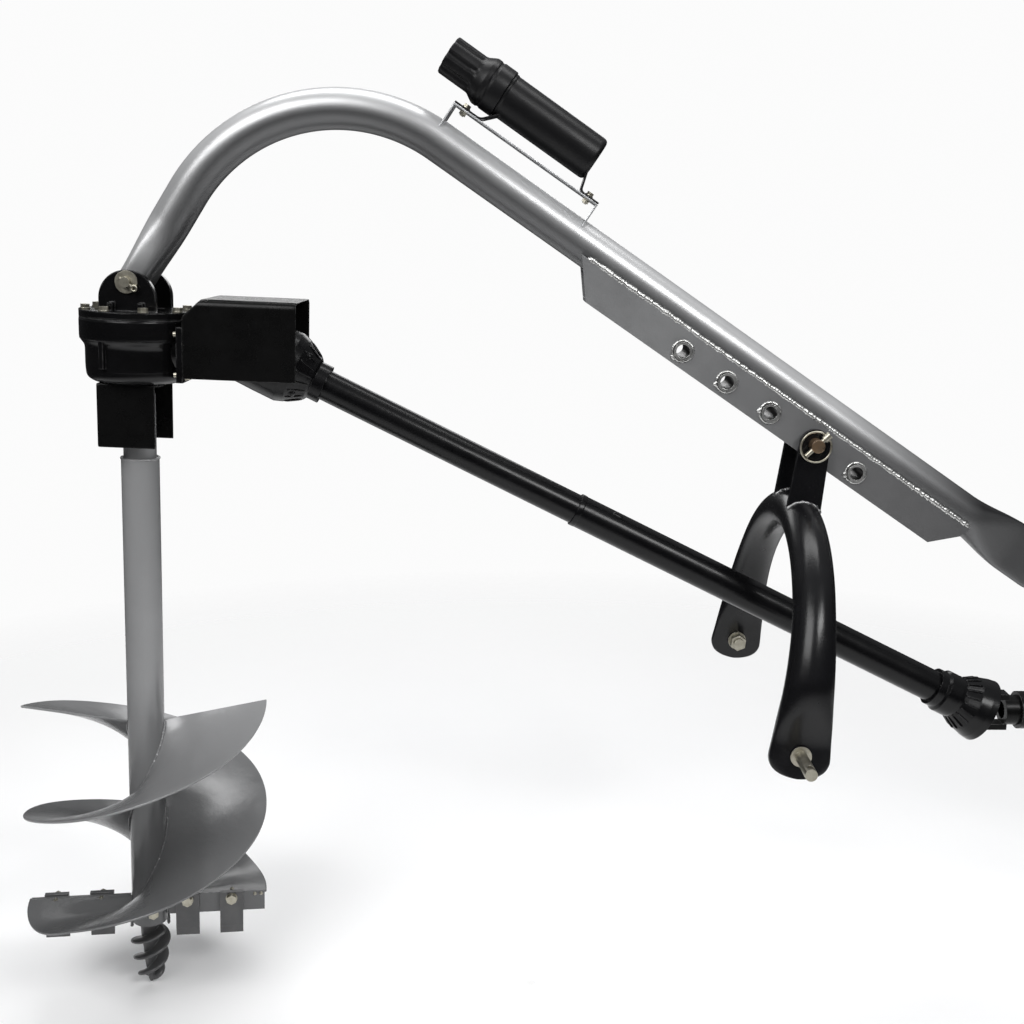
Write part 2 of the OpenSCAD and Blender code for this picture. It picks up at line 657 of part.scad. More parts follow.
// Guards
module pto_guard() color("#15161a") in_gearbox() difference() {
    union() {
        side_plate(guard_half) polygon([[guard_x0, -guard_bottom], [guard_x1, -guard_bottom],
            [guard_x1, -guard_top], [guard_x0 + 36, -guard_top], [guard_x0, -guard_top - 34]]);
    }
    side_plate(guard_half - guard_t) polygon([[guard_x0 + guard_t, -guard_bottom - 9],
        [guard_x1 + 9, -guard_bottom - 9], [guard_x1 + 9, -guard_top - guard_t],
        [guard_x0 + 37.3, -guard_top - guard_t], [guard_x0 + guard_t, -guard_top - 35.3]]);
    slab(guard_x0 - 9, guard_x0 + guard_t + 4, -guard_half + guard_tab, guard_half - guard_tab,
        -guard_bottom - 9, -guard_top);
    translate([0, 0, -input_depth]) at_guard_bolts() rod_x(guard_bolt_d / 2 + seat_fit, -20, 20);
}
module auger_guard() color("#15161a") in_gearbox() translate([0, 0, -shaft_guard_top]) difference() {
    slab(-shaft_guard_back, shaft_guard_front, -shaft_guard_half, shaft_guard_half,
        -shaft_guard_len, 0);
    slab(-shaft_guard_back + guard_t, shaft_guard_front + 9, -shaft_guard_half + guard_t,
        shaft_guard_half - guard_t, -shaft_guard_len - 9, -guard_t);
    slab(-shaft_guard_back + shaft_tab, shaft_guard_front + 9, -shaft_guard_half + shaft_tab + 6,
        shaft_guard_half - shaft_tab - 6, -9, 9);
    rod_z(out_boss_r + 1, -9, 9);
    translate([0, 0, shaft_guard_top]) at_shaft_guard_bolts() rod_z(guard_bolt_d / 2 + seat_fit,
        -20, 20);
}
module guard_bolts() color("#a9a79a") in_gearbox() {
    translate([0, 0, -input_depth]) at_guard_bolts() translate([guard_t, 0, 0]) rotate([0, 90, 0])
        bolt_z(guard_bolt_d, 22);
    at_shaft_guard_bolts() translate([0, 0, -guard_t - pass_gap]) rotate([180, 0, 0])
        bolt_z(guard_bolt_d, 16);
}

// Gear train
module output_shaft() color("#9a9da2") in_gearbox() difference() {
    union() {
        rod_z(shaft_r, -shaft_end, -input_depth - apex_drop - 4);
        rod_z(top_journal_r, -input_depth - apex_drop - 5, -cover_under - 1);
    }
    translate([0, 0, -hub_top - 32]) rod_y(6.5, -shaft_d, shaft_d);
}
module ring_gear() color("#6f7276") in_gearbox() translate([0, 0, -input_depth]) difference() {
    rotate_extrude($fn = 72) polygon([[shaft_r + seat_fit, -apex_drop - 4.2], [shaft_r + 11,
        -apex_drop - 4.2],
        [ring_r - ring_face - 4, -(ring_r - ring_face - 4) / 3 + 3], [ring_r, -apex_drop + 3],
        [ring_r, -apex_drop - 11], [shaft_r + 14, -apex_drop - 13],
        [shaft_r + seat_fit, -apex_drop - 13]]);
    for (i = [0 : ring_teeth - 1]) rotate(i * 360 / ring_teeth) rotate([0, ring_cone, 0])
        translate([ring_r / cos(ring_cone) + 2, 0, 0]) rotate([0, -90, 0])
            linear_extrude(44, scale = 0.488) polygon([[-5.5, -2.4], [-5.5, 2.4], [6, 6.2], [6, -6.2]]);
}
module pinion_gear() color("#74777b") in_gearbox() translate([0, 0, -input_depth]) difference() {
    translate([ring_r, 0, 0]) rotate([0, -90, 0]) linear_extrude(ring_face,
        scale = 1 - ring_face / ring_r)
        rotate(180) union() {
            circle(r = apex_drop - 5, $fn = 48);
            for (i = [0 : pinion_teeth - 1]) rotate(i * 360 / pinion_teeth)
                polygon([[apex_drop - 7, -4], [apex_drop - 7, 4], [apex_drop + 3.4, 1.5],
                    [apex_drop + 3.4, -1.5]]);
        }
    rod_x(13 + seat_fit, 0, ring_r + 1);
}
module pinion_shaft() color("#9a9da2") in_gearbox() translate([0, 0, -input_depth]) difference() {
    union() {
        rod_x(13, ring_r - ring_face - 4, ring_r + 1);
        rod_x(pinion_shaft_r, ring_r + 0.5, joint_x - fork_depth);
    }
    translate([joint_x - fork_depth - shear_place, 0, 0]) rod_y(5.2, -40, 40);
}

// A universal joint yoke: arms along the local Z, hub from the fork to hub_len behind it
module fork(hub_len) {
    difference() {
        union() {
            rod_x(hub_yoke_r, fork_depth, fork_depth + hub_len);
            for (s = [-1, 1]) {
                translate([0, 0, s * (arm_in + arm_out) / 2]) rod_z(eye_r, -(arm_out - arm_in) / 2,
                    (arm_out - arm_in) / 2);
                slab(0, fork_depth + 8, -eye_r, eye_r, min(s * arm_in, s * arm_out),
                    max(s * arm_in, s * arm_out));
                slab(fork_depth, fork_depth + 8, -eye_r, eye_r, min(0, s * arm_out), max(0,
                    s * arm_out));
            }
        }
        rod_z(cup_r + seat_fit, -arm_out - 1, arm_out + 1);
    }
}
module cross_pair() {
    rod_z(8, cross_r - 3, arm_in + 1);
    rod_z(8, -arm_in - 1, -cross_r + 3);
    rod_z(cup_r, arm_in, arm_out - 1);
    rod_z(cup_r, -arm_out + 1, -arm_in);
}
module stub_pins() difference() {
    cross_pair();
    sphere(r = cross_r + pass_gap);
}
module full_cross() union() {
    cross_pair();
    sphere(r = cross_r);
}
module input_yoke() color("#3a3c3f") in_gearbox() translate([joint_x, 0, -input_depth])
    mirror([1, 0, 0]) difference() {
        fork(52);
        rod_x(pinion_shaft_r + seat_fit, fork_depth, 200);
        translate([fork_depth + shear_place, 0, 0]) rod_y(5.2, -60, 60);
    }
module shear_bolt() color("#b9b7a8") in_gearbox() translate([joint_x - fork_depth - shear_place, 0,
    -input_depth])
    rotate([90, 0, 0]) {
        rod_z(5, -hub_yoke_r - 10, hub_yoke_r + eps);
        hex_z(16, hub_yoke_r, hub_yoke_r + 6);
        translate([0, 0, -hub_yoke_r - 8]) difference() {
            hex_z(16, 0, 8);
            rod_z(5 + seat_fit, -1, 9);
        }
    }
module input_cross() color("#85888c") in_gearbox() translate([joint_x, 0, -input_depth]) full_cross();

// Driveline
module front_shield_tube() color("#1d1e20") in_front()
    ring_x(shield_in_r, shield_in_r - shield_wall, 128, shield_in_end);
module front_bell() color("#232427") in_front() rotate([0, 90, 0]) rotate_extrude() polygon([
    [front_bell_r - 3, -25], [front_bell_r, -25], [front_bell_r + 1, 20], [front_bell_r + 1, 66],
    [front_bell_r - 5, 82], [48, 108], [44, 116], [38, 120], [38, 142], [shield_in_r + seat_fit, 142],
    [shield_in_r + seat_fit, 128], [neck_yoke_r + 1, 128],
    [neck_yoke_r + 1, front_groove + ring_groove_w], [ring_seat_r, front_groove + ring_groove_w],
    [ring_seat_r, 104], [front_bell_r - 8.5, 80], [front_bell_r - 2, 64], [front_bell_r - 2, 20]]);
module shield_ring(groove) ring_x(ring_seat_r - seat_fit, neck_yoke_r - 4 + run_fit, groove,
    groove + ring_groove_w);
module front_shield_ring() color("#d9d6c8") in_front() shield_ring(front_groove);
module drive_yoke(groove) {
    difference() {
        union() {
            rotate([90, 0, 0]) fork(groove - fork_depth - pass_gap);
            rod_x(neck_yoke_r - 4, groove - 2, groove + ring_groove_w + 2);
            rod_x(neck_yoke_r, groove + ring_groove_w + pass_gap, groove + 28);
        }
        slab(groove - 10, 200, -bar_w / 2, bar_w / 2, -bar_w / 2, bar_w / 2);
    }
    rotate([90, 0, 0]) stub_pins();
}
module front_drive_yoke() color("#3a3c3f") in_front() drive_yoke(front_groove);
module inner_drive_bar() color("#8f9296") in_front() slab(front_groove - 10 + pass_gap, bar_end,
    -bar_w / 2 + seat_fit, bar_w / 2 - seat_fit, -bar_w / 2 + seat_fit, bar_w / 2 - seat_fit);
module rear_shield_tube() color("#1d1e20") in_rear()
    ring_x(shield_out_r, shield_out_bore, shield_step - drive_len, -rear_bell_back);
module rear_bell() color("#232427") in_rear() rotate([0, -90, 0]) rotate_extrude() polygon([
    [rear_bell_r - 3, -2], [rear_bell_r, -2], [rear_bell_r - 2, 12], [58, 32], [47, 52], [43, 60],
    [44, 68], [44, 94], [39, 98], [39, 114], [shield_out_r + seat_fit, 114],
    [shield_out_r + seat_fit, rear_bell_back], [neck_yoke_r + 1, rear_bell_back],
    [neck_yoke_r + 1, rear_groove + ring_groove_w], [ring_seat_r, rear_groove + ring_groove_w],
    [ring_seat_r, 58], [43, 52], [rear_bell_r - 12, 30], [rear_bell_r - 6, 12]]);
module rear_shield_ring() color("#d9d6c8") in_rear() mirror([1, 0, 0]) shield_ring(rear_groove);
module rear_drive_yoke() color("#3a3c3f") in_rear() mirror([1, 0, 0]) drive_yoke(rear_groove);
module outer_drive_tube() color("#8f9296") in_front() difference() {
    slab(sleeve_start, drive_len - rear_groove - 28, -sleeve_w / 2, sleeve_w / 2, -sleeve_w / 2,
        sleeve_w / 2);
    slab(sleeve_start - 1, drive_len, -bar_w / 2 - pass_gap, bar_w / 2 + pass_gap,
        -bar_w / 2 - pass_gap, bar_w / 2 + pass_gap);
}
module tractor_yoke() color("#3a3c3f") in_tractor() difference() {
    fork(66);
    rod_x(spline_d / 2, fork_depth - 1, 200);
}
module rear_cross() color("#85888c") in_tractor() full_cross();
module lock_collar() color("#4a4c50") in_tractor()
    ring_x(38, hub_yoke_r + pass_gap, fork_depth + 30, fork_depth + 60);

// Auger
function helix_ring(a, ri, ro, t, z, dish) = [for (q = [[ri, -dish], [ro, 0], [ro, -t], [ri,
    -dish - t]])
    [q[0] * cos(a), q[0] * sin(a), z + q[1]]];
module helicoid(turns, pitch, ri, ro0, ro1, t, steps, dish = 0) {
    n = round(turns * steps);
    pts = [for (i = [0 : n]) each helix_ring(-i * 360 / steps, ri, ro0 + (ro1 - ro0) * i / n, t,
        -i * pitch / steps, dish)];
    sides = [for (i = [0 : n - 1], j = [0 : 3]) each [[i * 4 + j, i * 4 + (j + 1) % 4, i * 4 + 4 + j],
        [i * 4 + (j + 1) % 4, i * 4 + 4 + (j + 1) % 4, i * 4 + 4 + j]]];
    polyhedron(pts, concat(sides, [[2, 1, 0], [3, 2, 0], [n * 4, n * 4 + 1, n * 4 + 2],
        [n * 4, n * 4 + 2, n * 4 + 3]]));
}
module auger_hub() color("#7d7f81") in_gearbox() difference() {
    ring_z(hub_r, shaft_r + run_fit, -pipe_top - hub_insert, -hub_top);
    translate([0, 0, -hub_top - 32]) rod_y(6.5, -60, 60);
}
module auger_pipe() color("#808284") in_gearbox() difference() {
    ring_z(pipe_r, pipe_r - pipe_wall, -pipe_end, -pipe_top);
    rotate(pilot_bolt_turn) translate([0, 0, -pipe_end + 30]) rod_y(6.5, -60, 60);
}
module flight() translate([0, 0, -flight_top])
    helicoid(1, flight_pitch, flight_in, flight_r, flight_r, flight_t, 60, flight_dish);
module auger_flight_a() color("#85878a") in_flights() flight();
module auger_flight_b() color("#7b7d80") in_flights() rotate(180) flight();
module cutter_plates() color("#707275") in_flights() opposite() difference() {
    slab(cutter_x0, cutter_x1, -cutter_t - 0.1, -0.1, -cutter_top - cutter_h, -cutter_top);
    at_teeth() rod_y(tooth_bolt_d / 2 + seat_fit, -20, 20);
}
module at_teeth() for (x = tooth_xs) translate([x + $stagger, 0, -tooth_top - tooth_bolt_drop])
    children();
module cutter_teeth() color("#66686b") in_flights() opposite() difference() {
    for (x = tooth_xs) translate([x + $stagger - tooth_w / 2, -cutter_t - 0.1, 0]) rotate([90, 0, 90])
        linear_extrude(tooth_w) polygon([[0, -tooth_top], [-tooth_t, -tooth_top],
            [-tooth_t, -tooth_top - tooth_l + 22], [-2, -tooth_top - tooth_l], [0,
                -tooth_top - tooth_l]]);
    at_teeth() rod_y(tooth_bolt_d / 2 + seat_fit, -40, 20);
}
module tooth_bolts() color("gainsboro") in_flights() opposite() at_teeth() {
    translate([0, -cutter_t - 0.1 - tooth_t, 0]) rotate([90, 0, 0]) bolt_z(tooth_bolt_d, 32);
    rotate([-90, 0, 0]) difference() {
        hex_z(19, 0, 9);
        rod_z(tooth_bolt_d / 2 + seat_fit, -1, 10);
    }
}
module pilot_bit() color("#6d6f72") in_gearbox() {
    difference() {
        union() {
            rod_z(pipe_r - pipe_wall - seat_fit, -pipe_end, -pipe_end + 60);
            rod_z(24, -pipe_end - 22, -pipe_end + eps);
            translate([0, 0, -pipe_end - pilot_len]) cylinder(r1 = 2, r2 = 24,
                h = pilot_len - 22 + eps);
        }
        rotate(pilot_bolt_turn) translate([0, 0, -pipe_end + 30]) rod_y(6.5, -60, 60);
    }
    for (a = [0, 180]) rotate(a) translate([0, 0, -pipe_end - 18])
        helicoid(2, 62, 1.5, pilot_r, 9, 5, 24);
}
module auger_bolts() color("gainsboro") in_gearbox() for (p = [[-hub_top - 32, hub_r, 0],
    [-pipe_end + 30, pipe_r, pilot_bolt_turn]])
    rotate(p[2]) translate([0, 0, p[0]]) rotate([90, 0, 0]) {
        rod_z(6, -p[1] - 14, p[1] + 2);
        hex_z(19, p[1], p[1] + 8);
        translate([0, 0, -p[1] - 11]) difference() {
            hex_z(19, 0, 11);
            rod_z(6 + seat_fit, -1, 12);
        }
    }

// Lift yoke
module arch(r, spare) translate([0, 0, -crown_depth - arch_r]) rotate([0, 90, 0])
    rotate([0, 0, 180 - arch_sweep - spare]) rotate_extrude(angle = 2 * arch_sweep + 2 * spare,
        $fn = 96)
        translate([arch_r, 0]) circle(r = r);
module lift_yoke() color("#1c1d20") in_yoke() {
    difference() {
        arch(yoke_r, 0);
        arch(yoke_r - yoke_wall, 1);
        rod_z(drain_r, -crown_depth, 0);
    }
    both_sides() translate([0, leg_y0, leg_z0]) rotate([leg_splay, 0, 0]) difference() {
        union() {
            hull() {
                rod_z(yoke_r - press_step, -1, 2, $fn = 48);
                slab(-foot_w / 2 + press_step, foot_w / 2 - press_step, -foot_t / 2 + press_step,
                    foot_t / 2 - press_step, -foot_run + 20, -foot_run + 22);
            }
            side_plate(foot_t / 2) intersection() {
                translate([-foot_w / 2, -foot_run - foot_drop]) square([foot_w, foot_drop + 26]);
                translate([0, -foot_run + 14]) circle(r = foot_drop + 14);
            }
        }
        rotate([-leg_splay, 0, 0]) translate([0, foot_y - leg_y0, -yoke_len - leg_z0])
            rod_y(hitch_d / 2 + seat_fit, -2 * foot_t, 2 * foot_t);
    }
}
module yoke_ears() color("#1f2023") in_yoke() both_sides() difference() {
    translate([0, ear_y0 + yoke_ear_t / 2, 0]) side_plate(yoke_ear_t / 2) union() {
        circle(r = yoke_ear_r);
        polygon([[-yoke_ear_r, 0], [yoke_ear_r, 0], [33, -crown_depth + 4], [-33, -crown_depth + 4]]);
    }
    rod_y(yoke_pin_d / 2 + seat_fit, 0, 100);
    translate([0, 0, -crown_depth - arch_r]) rotate([0, 90, 0]) rotate([0, 0, 180 - arch_sweep])
        rotate_extrude(angle = 2 * arch_sweep, $fn = 128) translate([arch_r, 0])
            circle(r = yoke_r + seat_fit);
}
module yoke_pin() color("#b8a36a") in_yoke() difference() {
    union() {
        rod_y(yoke_pin_d / 2, -yoke_pin_near, yoke_pin_far);
        rod_y(yoke_pin_d / 2 + 7, yoke_pin_far, yoke_pin_far + 10);
    }
    translate([0, -lynch_y, 0]) rotate([0, lynch_turn, 0]) rod_z(lynch_d / 2 + seat_fit, -30, 30);
}
module lower_hitch_pins() color("#a9a59a") in_yoke() both_sides() translate([0, 0, -yoke_len])
    difference() {
    union() {
        rod_y(hitch_d / 2, foot_y - foot_t / 2 - 30, shoulder_y + hitch_len);
        rod_y(19, foot_y + foot_t / 2 + 2, shoulder_y);
    }
    translate([0, shoulder_y + hitch_len - 12, 0]) rod_z(6, -20, 20);
}
module hitch_pin_nuts() color("#aea98f") in_yoke() both_sides() translate([0,
    foot_y - foot_t / 2 - 3, -yoke_len])
    rotate([90, 0, 0]) {
        ring_z(20, hitch_d / 2 + seat_fit, 0, 3);
        difference() {
            hex_z(31.75, 3, 22);
            rod_z(hitch_d / 2 + seat_fit, 0, 30);
        }
    }
module at_lynch() in_yoke() translate([0, -lynch_y, 0]) rotate([0, lynch_turn, 0]) children();
module lynch_pin() color("gainsboro") at_lynch() difference() {
    union() {
        rod_z(lynch_d / 2, -29, 17);
        rod_z(lynch_head_r, 17, 31);
    }
    translate([0, 0, lynch_hole_z]) rod_x(ring_wire / 2 + run_fit, -20, 20);
}
module lynch_ring() color("gainsboro") at_lynch() {
    translate([0, 0, lynch_hole_z]) rod_x(ring_wire / 2, -ring_half_gap, ring_half_gap);
    translate([0, 0, lynch_hole_z - loop_drop]) rotate([90, 0, 0]) rotate([0, 0, 90 + loop_turn])
        rotate_extrude(angle = 360 - 2 * loop_turn) translate([loop_r, 0])
            circle(r = ring_wire / 2, $fn = 24);
    for (x = [-1, 1]) translate([x * ring_half_gap, 0, lynch_hole_z]) sphere(r = ring_wire / 2,
        $fn = 24);
}
boom_tube();
boom_tip_bush();
top_link_bush();
stiffener_channel();
pin_bushes();
canister_bracket();
canister_body();
canister_cap();
canister_bolts();
gearbox_housing();
gearbox_cover();
cover_gasket();
cover_bolts();
hanger_pin();
hanger_washers();
hanger_cotters();
fill_plug();
pinion_bearings();
input_seal();
output_bearings();
output_seal();
pto_guard();
auger_guard();
guard_bolts();
output_shaft();
ring_gear();
auger_hub();
auger_pipe();
auger_bolts();
auger_flight_a();
auger_flight_b();
cutter_plates();
cutter_teeth();
tooth_bolts();
pilot_bit();
pinion_shaft();
pinion_gear();
input_yoke();
shear_bolt();
input_cross();
front_shield_tube();
front_bell();
front_shield_ring();
inner_drive_bar();
front_drive_yoke();
rear_shield_tube();
rear_bell();
rear_shield_ring();
outer_drive_tube();
rear_drive_yoke();
tractor_yoke();
rear_cross();
lock_collar();
lift_yoke();
yoke_ears();
yoke_pin();
lower_hitch_pins();
hitch_pin_nuts();
lynch_pin();
lynch_ring();
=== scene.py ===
import bpy
import math
import numpy as np
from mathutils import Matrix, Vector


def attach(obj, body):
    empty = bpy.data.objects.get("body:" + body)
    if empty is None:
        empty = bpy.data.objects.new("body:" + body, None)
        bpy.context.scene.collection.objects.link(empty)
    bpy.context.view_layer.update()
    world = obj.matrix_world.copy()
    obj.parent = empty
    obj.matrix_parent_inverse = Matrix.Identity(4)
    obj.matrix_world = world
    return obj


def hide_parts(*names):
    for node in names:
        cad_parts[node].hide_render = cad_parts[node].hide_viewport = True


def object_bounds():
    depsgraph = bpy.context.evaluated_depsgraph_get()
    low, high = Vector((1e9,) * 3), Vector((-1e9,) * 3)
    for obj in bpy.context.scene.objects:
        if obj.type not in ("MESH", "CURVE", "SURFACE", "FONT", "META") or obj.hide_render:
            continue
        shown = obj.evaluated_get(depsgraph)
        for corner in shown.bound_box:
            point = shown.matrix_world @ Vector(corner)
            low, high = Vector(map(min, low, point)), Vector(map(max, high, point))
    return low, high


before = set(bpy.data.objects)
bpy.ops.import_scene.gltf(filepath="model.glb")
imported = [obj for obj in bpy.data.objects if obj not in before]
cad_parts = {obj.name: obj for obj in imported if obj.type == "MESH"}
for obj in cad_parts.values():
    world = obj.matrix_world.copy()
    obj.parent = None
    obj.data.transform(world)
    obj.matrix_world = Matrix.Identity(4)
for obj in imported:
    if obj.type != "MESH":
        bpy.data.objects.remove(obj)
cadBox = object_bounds()
deg, join = math.radians, np.concatenate

# Millimetres and degrees, the same layout as the steelwork: origin at the top link bore, x to the tractor, z up
layout = dict(
    boomSlope=34.5, boomR=38.1, straight=1427, bendR=336, bendAngle=91, tipLen=194,
    tongueH=104, tongueT=22, tipHalf=46, tipEnd=29,
    tilt=2.4, inputDepth=125, jointX=231, driveSlope=26.8, driveLen=1617,
    yokeLean=7, bushFirst=422, bushPitch=103, bushDepth=56.5, bushCount=5, canHeight=137)


def turned(angle):  # the three axes of a frame turned about y by this many degrees
    c, s = math.cos(deg(angle)), math.sin(deg(angle))
    return np.array([[c, 0, -s], [0, 1, 0], [s, 0, c]])


def placeIn(spot, points):  # points of a frame, in millimetres, to metres in the row frame
    origin, axes = spot
    return (np.asarray(points, float) @ axes + origin) / 1000


# The frames of the groups, each an origin and three axes
straight, bendR, tipLen, bend = layout["straight"], layout["bendR"], layout["tipLen"], deg(90 + layout["bendAngle"])
tipX = -straight + bendR * math.cos(bend) - tipLen * math.sin(bend)
tipZ = -bendR + bendR * math.sin(bend) + tipLen * math.cos(bend)
boomSpot = (np.zeros(3), turned(layout["boomSlope"]))
pinPoint = np.array([tipX, 0, tipZ]) @ boomSpot[1]
gearSpot = (pinPoint, turned(layout["tilt"]))
jointPoint = np.array([layout["jointX"], 0, -layout["inputDepth"]]) @ gearSpot[1] + pinPoint
frontSpot = (jointPoint, turned(layout["driveSlope"]))
rearSpot = (np.array([layout["driveLen"], 0, 0]) @ frontSpot[1] + jointPoint, frontSpot[1])
yokePin = np.array([-layout["bushFirst"] - layout["bushPitch"], 0, -layout["bushDepth"]]) @ boomSpot[1]
yokeSpot = (yokePin, turned(layout["yokeLean"]))

# Camera, solved from the photograph: it looks along +y and a little down
view = dict(lens=44.4, sensor=36, at=(-1.041, -2.434, 0.645), down=12.5)
cameraData = bpy.data.cameras.new("camera")
cameraData.lens = view["lens"]
cameraData.sensor_width = view["sensor"]
camera = bpy.data.objects.new("camera", cameraData)
bpy.context.scene.collection.objects.link(camera)
camera.location = view["at"]
camera.rotation_euler = (deg(90 - view["down"]), 0, 0)
bpy.context.scene.camera = camera
print("stage: frame and camera")


# Mesh helpers
def xyz(x, y, z):  # three coordinates, each an array or a number, as points
    return np.stack(np.broadcast_arrays(x, y, z), -1)


def around(count):  # equal angles right round
    return np.arange(count) * 2 * np.pi / count


def circle(count):
    return np.cos(around(count)), np.sin(around(count))


def bulge(value, power):  # cosines and sines raised to a power make a superellipse
    return np.sign(value) * np.abs(value) ** power


def ease(t):  # smooth step: three t squared less two t cubed, held at its ends
    t = np.clip(t, 0, 1)
    return t * t * (3 - 2 * t)


def gridQuads(rows, cols, ring=False):
    a, b = np.meshgrid(np.arange(rows if ring else rows - 1), np.arange(cols), indexing="ij")
    a2, b2 = (a + 1) % rows, (b + 1) % cols
    return np.stack([a * cols + b, a2 * cols + b, a2 * cols + b2, a * cols + b2], -1).reshape(-1, 4)


def gridPart(points, ring=False):
    # A tube of rows by columns: quads join each row to the next and columns run right round. The rows close into a
    # ring, or else both ends close on their middle
    rows, cols = points.shape[:2]
    quads, verts, tris = gridQuads(rows, cols, ring), points.reshape(-1, 3), np.zeros((0, 3), int)
    if not ring:
        i, j, last = np.arange(cols), (np.arange(cols) + 1) % cols, (rows - 1) * cols
        tris = np.vstack([np.stack([i, j, np.full(cols, len(verts))], -1),
                          np.stack([np.full(cols, len(verts) + 1), j + last, i + last], -1)])
        verts = np.vstack([verts, points[0].mean(0), points[-1].mean(0)])
    every = np.vstack([quads[:, [0, 1, 2]], quads[:, [0, 2, 3]], tris])
    v = verts[every]
    volume = np.einsum("ij,ij->i", v[:, 0], np.cross(v[:, 1], v[:, 2])).sum()
    if volume < 0:  # faces point outwards
        quads, tris = quads[:, ::-1], tris[:, ::-1]
    return verts, quads, tris


def skinPart(spot, x, y, z):
    return gridPart(placeIn(spot, xyz(x, y, z)))


def meshObject(name, verts, faces):
    mesh = bpy.data.meshes.new(name)
    mesh.from_pydata(verts.tolist(), [], faces)
    thing = bpy.data.objects.new(name, mesh)
    bpy.context.scene.collection.objects.link(thing)
    return thing


def makePiece(name, parts, paint, body, sharp=40):
    verts, faces, start = [], [], 0
    for v, q, t in parts:
        verts.append(v)
        faces += (q + start).tolist() + (t + start).tolist()
        start += len(v)
    piece = meshObject(name, np.vstack(verts), faces)
    mesh = piece.data
    mesh.polygons.foreach_set("use_smooth", np.ones(len(mesh.polygons), bool))
    if sharp:
        mesh.set_sharp_from_angle(angle=deg(sharp))
    mesh.materials.append(paints[paint])
    mesh.update()
    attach(piece, body)
    return piece


def softProfile(corners, cut, steps):
    # Each inner corner is cut back by its distance along both legs and bridged with a quadratic curve
    p = np.array(corners, float)
    out = []
    for i in range(len(p)):
        if i in (0, len(p) - 1) or cut[i] <= 0:
            out.append(p[i][None])
            continue
        before, after = p[i - 1] - p[i], p[i + 1] - p[i]
        la, lb = np.linalg.norm(before), np.linalg.norm(after)
        k = min(cut[i], 0.48 * la, 0.48 * lb)
        a, b = p[i] + before / la * k, p[i] + after / lb * k
        t = np.linspace(0, 1, steps)[:, None]
        out.append((1 - t) ** 2 * a + 2 * t * (1 - t) * p[i] + t * t * b)
    return np.vstack(out)


def lathe(spot, profile, along="z", turns=96, offset=(0, 0, 0), lobe=None, ring=False):
    # A profile of (station, radius) turned round one axis of a frame, with an optional dip of the radius by angle
    t = around(turns)
    line, radius = profile[:, :1], profile[:, 1:] * np.ones(turns)
    if lobe is not None:
        radius = radius - lobe(line, radius, t[None])
    ahead, aside = radius * np.cos(t), radius * np.sin(t)
    three = {"z": (ahead, aside, line), "x": (line, ahead, aside), "y": (aside, line, ahead)}[along]
    return gridPart(placeIn(spot, xyz(*three) + np.array(offset)), ring)


def bentSheet(spot, path, low, high, order, bend=0, thick=3, steps=9, sides=32, powers=(0.06, 0.6)):
    # A folded sheet: a thin rounded section runs along a path whose corners are bent. Its two ends are stations, and
    # the low one may be a function of the path. One power shapes the section along the sheet, the other through it
    path = softProfile(path, [0] + [bend] * (len(path) - 2) + [0], steps)
    way = np.gradient(path, axis=0)
    way /= np.linalg.norm(way, axis=1)[:, None]
    c, s = circle(sides)
    share, out = 0.5 + 0.5 * bulge(c, powers[0]), thick / 2 * bulge(s, powers[1])
    begin = low(path)[:, None] if callable(low) else low
    three = {"u": path[:, :1] - out * way[:, 1:], "v": path[:, 1:] + out * way[:, :1],
             "w": begin + share * (high - begin)}
    return skinPart(spot, *[three[k] for k in order])


beadShape = dict(least=0.86, most=1.12, fall=0.16, drift=0.14)


def bead(spot, path, radius, seed, pitch, sides, ring=False, flat=0.85, up=(0, 1.0, 0)):
    # A weld bead: a round section carried along a path, its radius falling over each ripple like stacked coins
    rng = np.random.default_rng(seed)
    step = np.linalg.norm(np.diff(path, axis=0), axis=1)
    run = join([[0], np.cumsum(step)])
    phase = run / pitch
    count = int(phase[-1]) + 2
    size = rng.uniform(beadShape["least"], beadShape["most"], count)[phase.astype(int)]
    if ring:
        size[-6:] = size[:6].mean()
    r = radius * size * (1 - beadShape["fall"] * (phase % 1) ** 2)
    wander = rng.uniform(-beadShape["drift"], beadShape["drift"], count)
    drift = np.interp(run, np.linspace(0, run[-1], count), wander) * radius
    if not ring:  # the ends are rounded off
        r = r * np.sqrt(np.clip(np.minimum(run, run[-1] - run) / radius, 0.02, 1))
    tangent = np.gradient(path, axis=0)
    tangent /= np.linalg.norm(tangent, axis=1)[:, None]
    side = np.cross(tangent, np.array(up))
    side /= np.linalg.norm(side, axis=1)[:, None] + 1e-9
    over = np.cross(tangent, side)
    c, s = circle(sides)
    pts = (path[:, None] + side[:, None] * (r[:, None] * c + drift[:, None])[..., None]
           + over[:, None] * (r[:, None] * s * flat)[..., None])
    return gridPart(placeIn(spot, pts[:-1] if ring else pts), ring)


def ballGrid(cols, inset):  # the angles of a ball's rows and columns, open a little at both poles
    return np.meshgrid(np.linspace(inset, np.pi - inset, 12), around(cols), indexing="ij")


# Node helpers. A colour is given as three numbers, or as one for a grey
def feed(tree, sockets, values):  # sets numbers, vectors and colours, and links anything else
    for label, value in values.items():
        socket = sockets[label]
        if not isinstance(value, (int, float, tuple)):
            tree.links.new(value, socket)
        elif socket.type == "RGBA":
            socket.default_value = (value if isinstance(value, tuple) else (value,) * 3) + (1,)
        else:
            socket.default_value = value


def newGroup(name, takes, gives):  # every input is fed by each user of the group
    tree = bpy.data.node_groups.new(name, "ShaderNodeTree")
    for side, sockets in (("INPUT", takes), ("OUTPUT", gives)):
        for label, kind in sockets.items():
            tree.interface.new_socket(name=label, in_out=side, socket_type=kind)
    return tree, tree.nodes.new("NodeGroupInput").outputs, tree.nodes.new("NodeGroupOutput").inputs


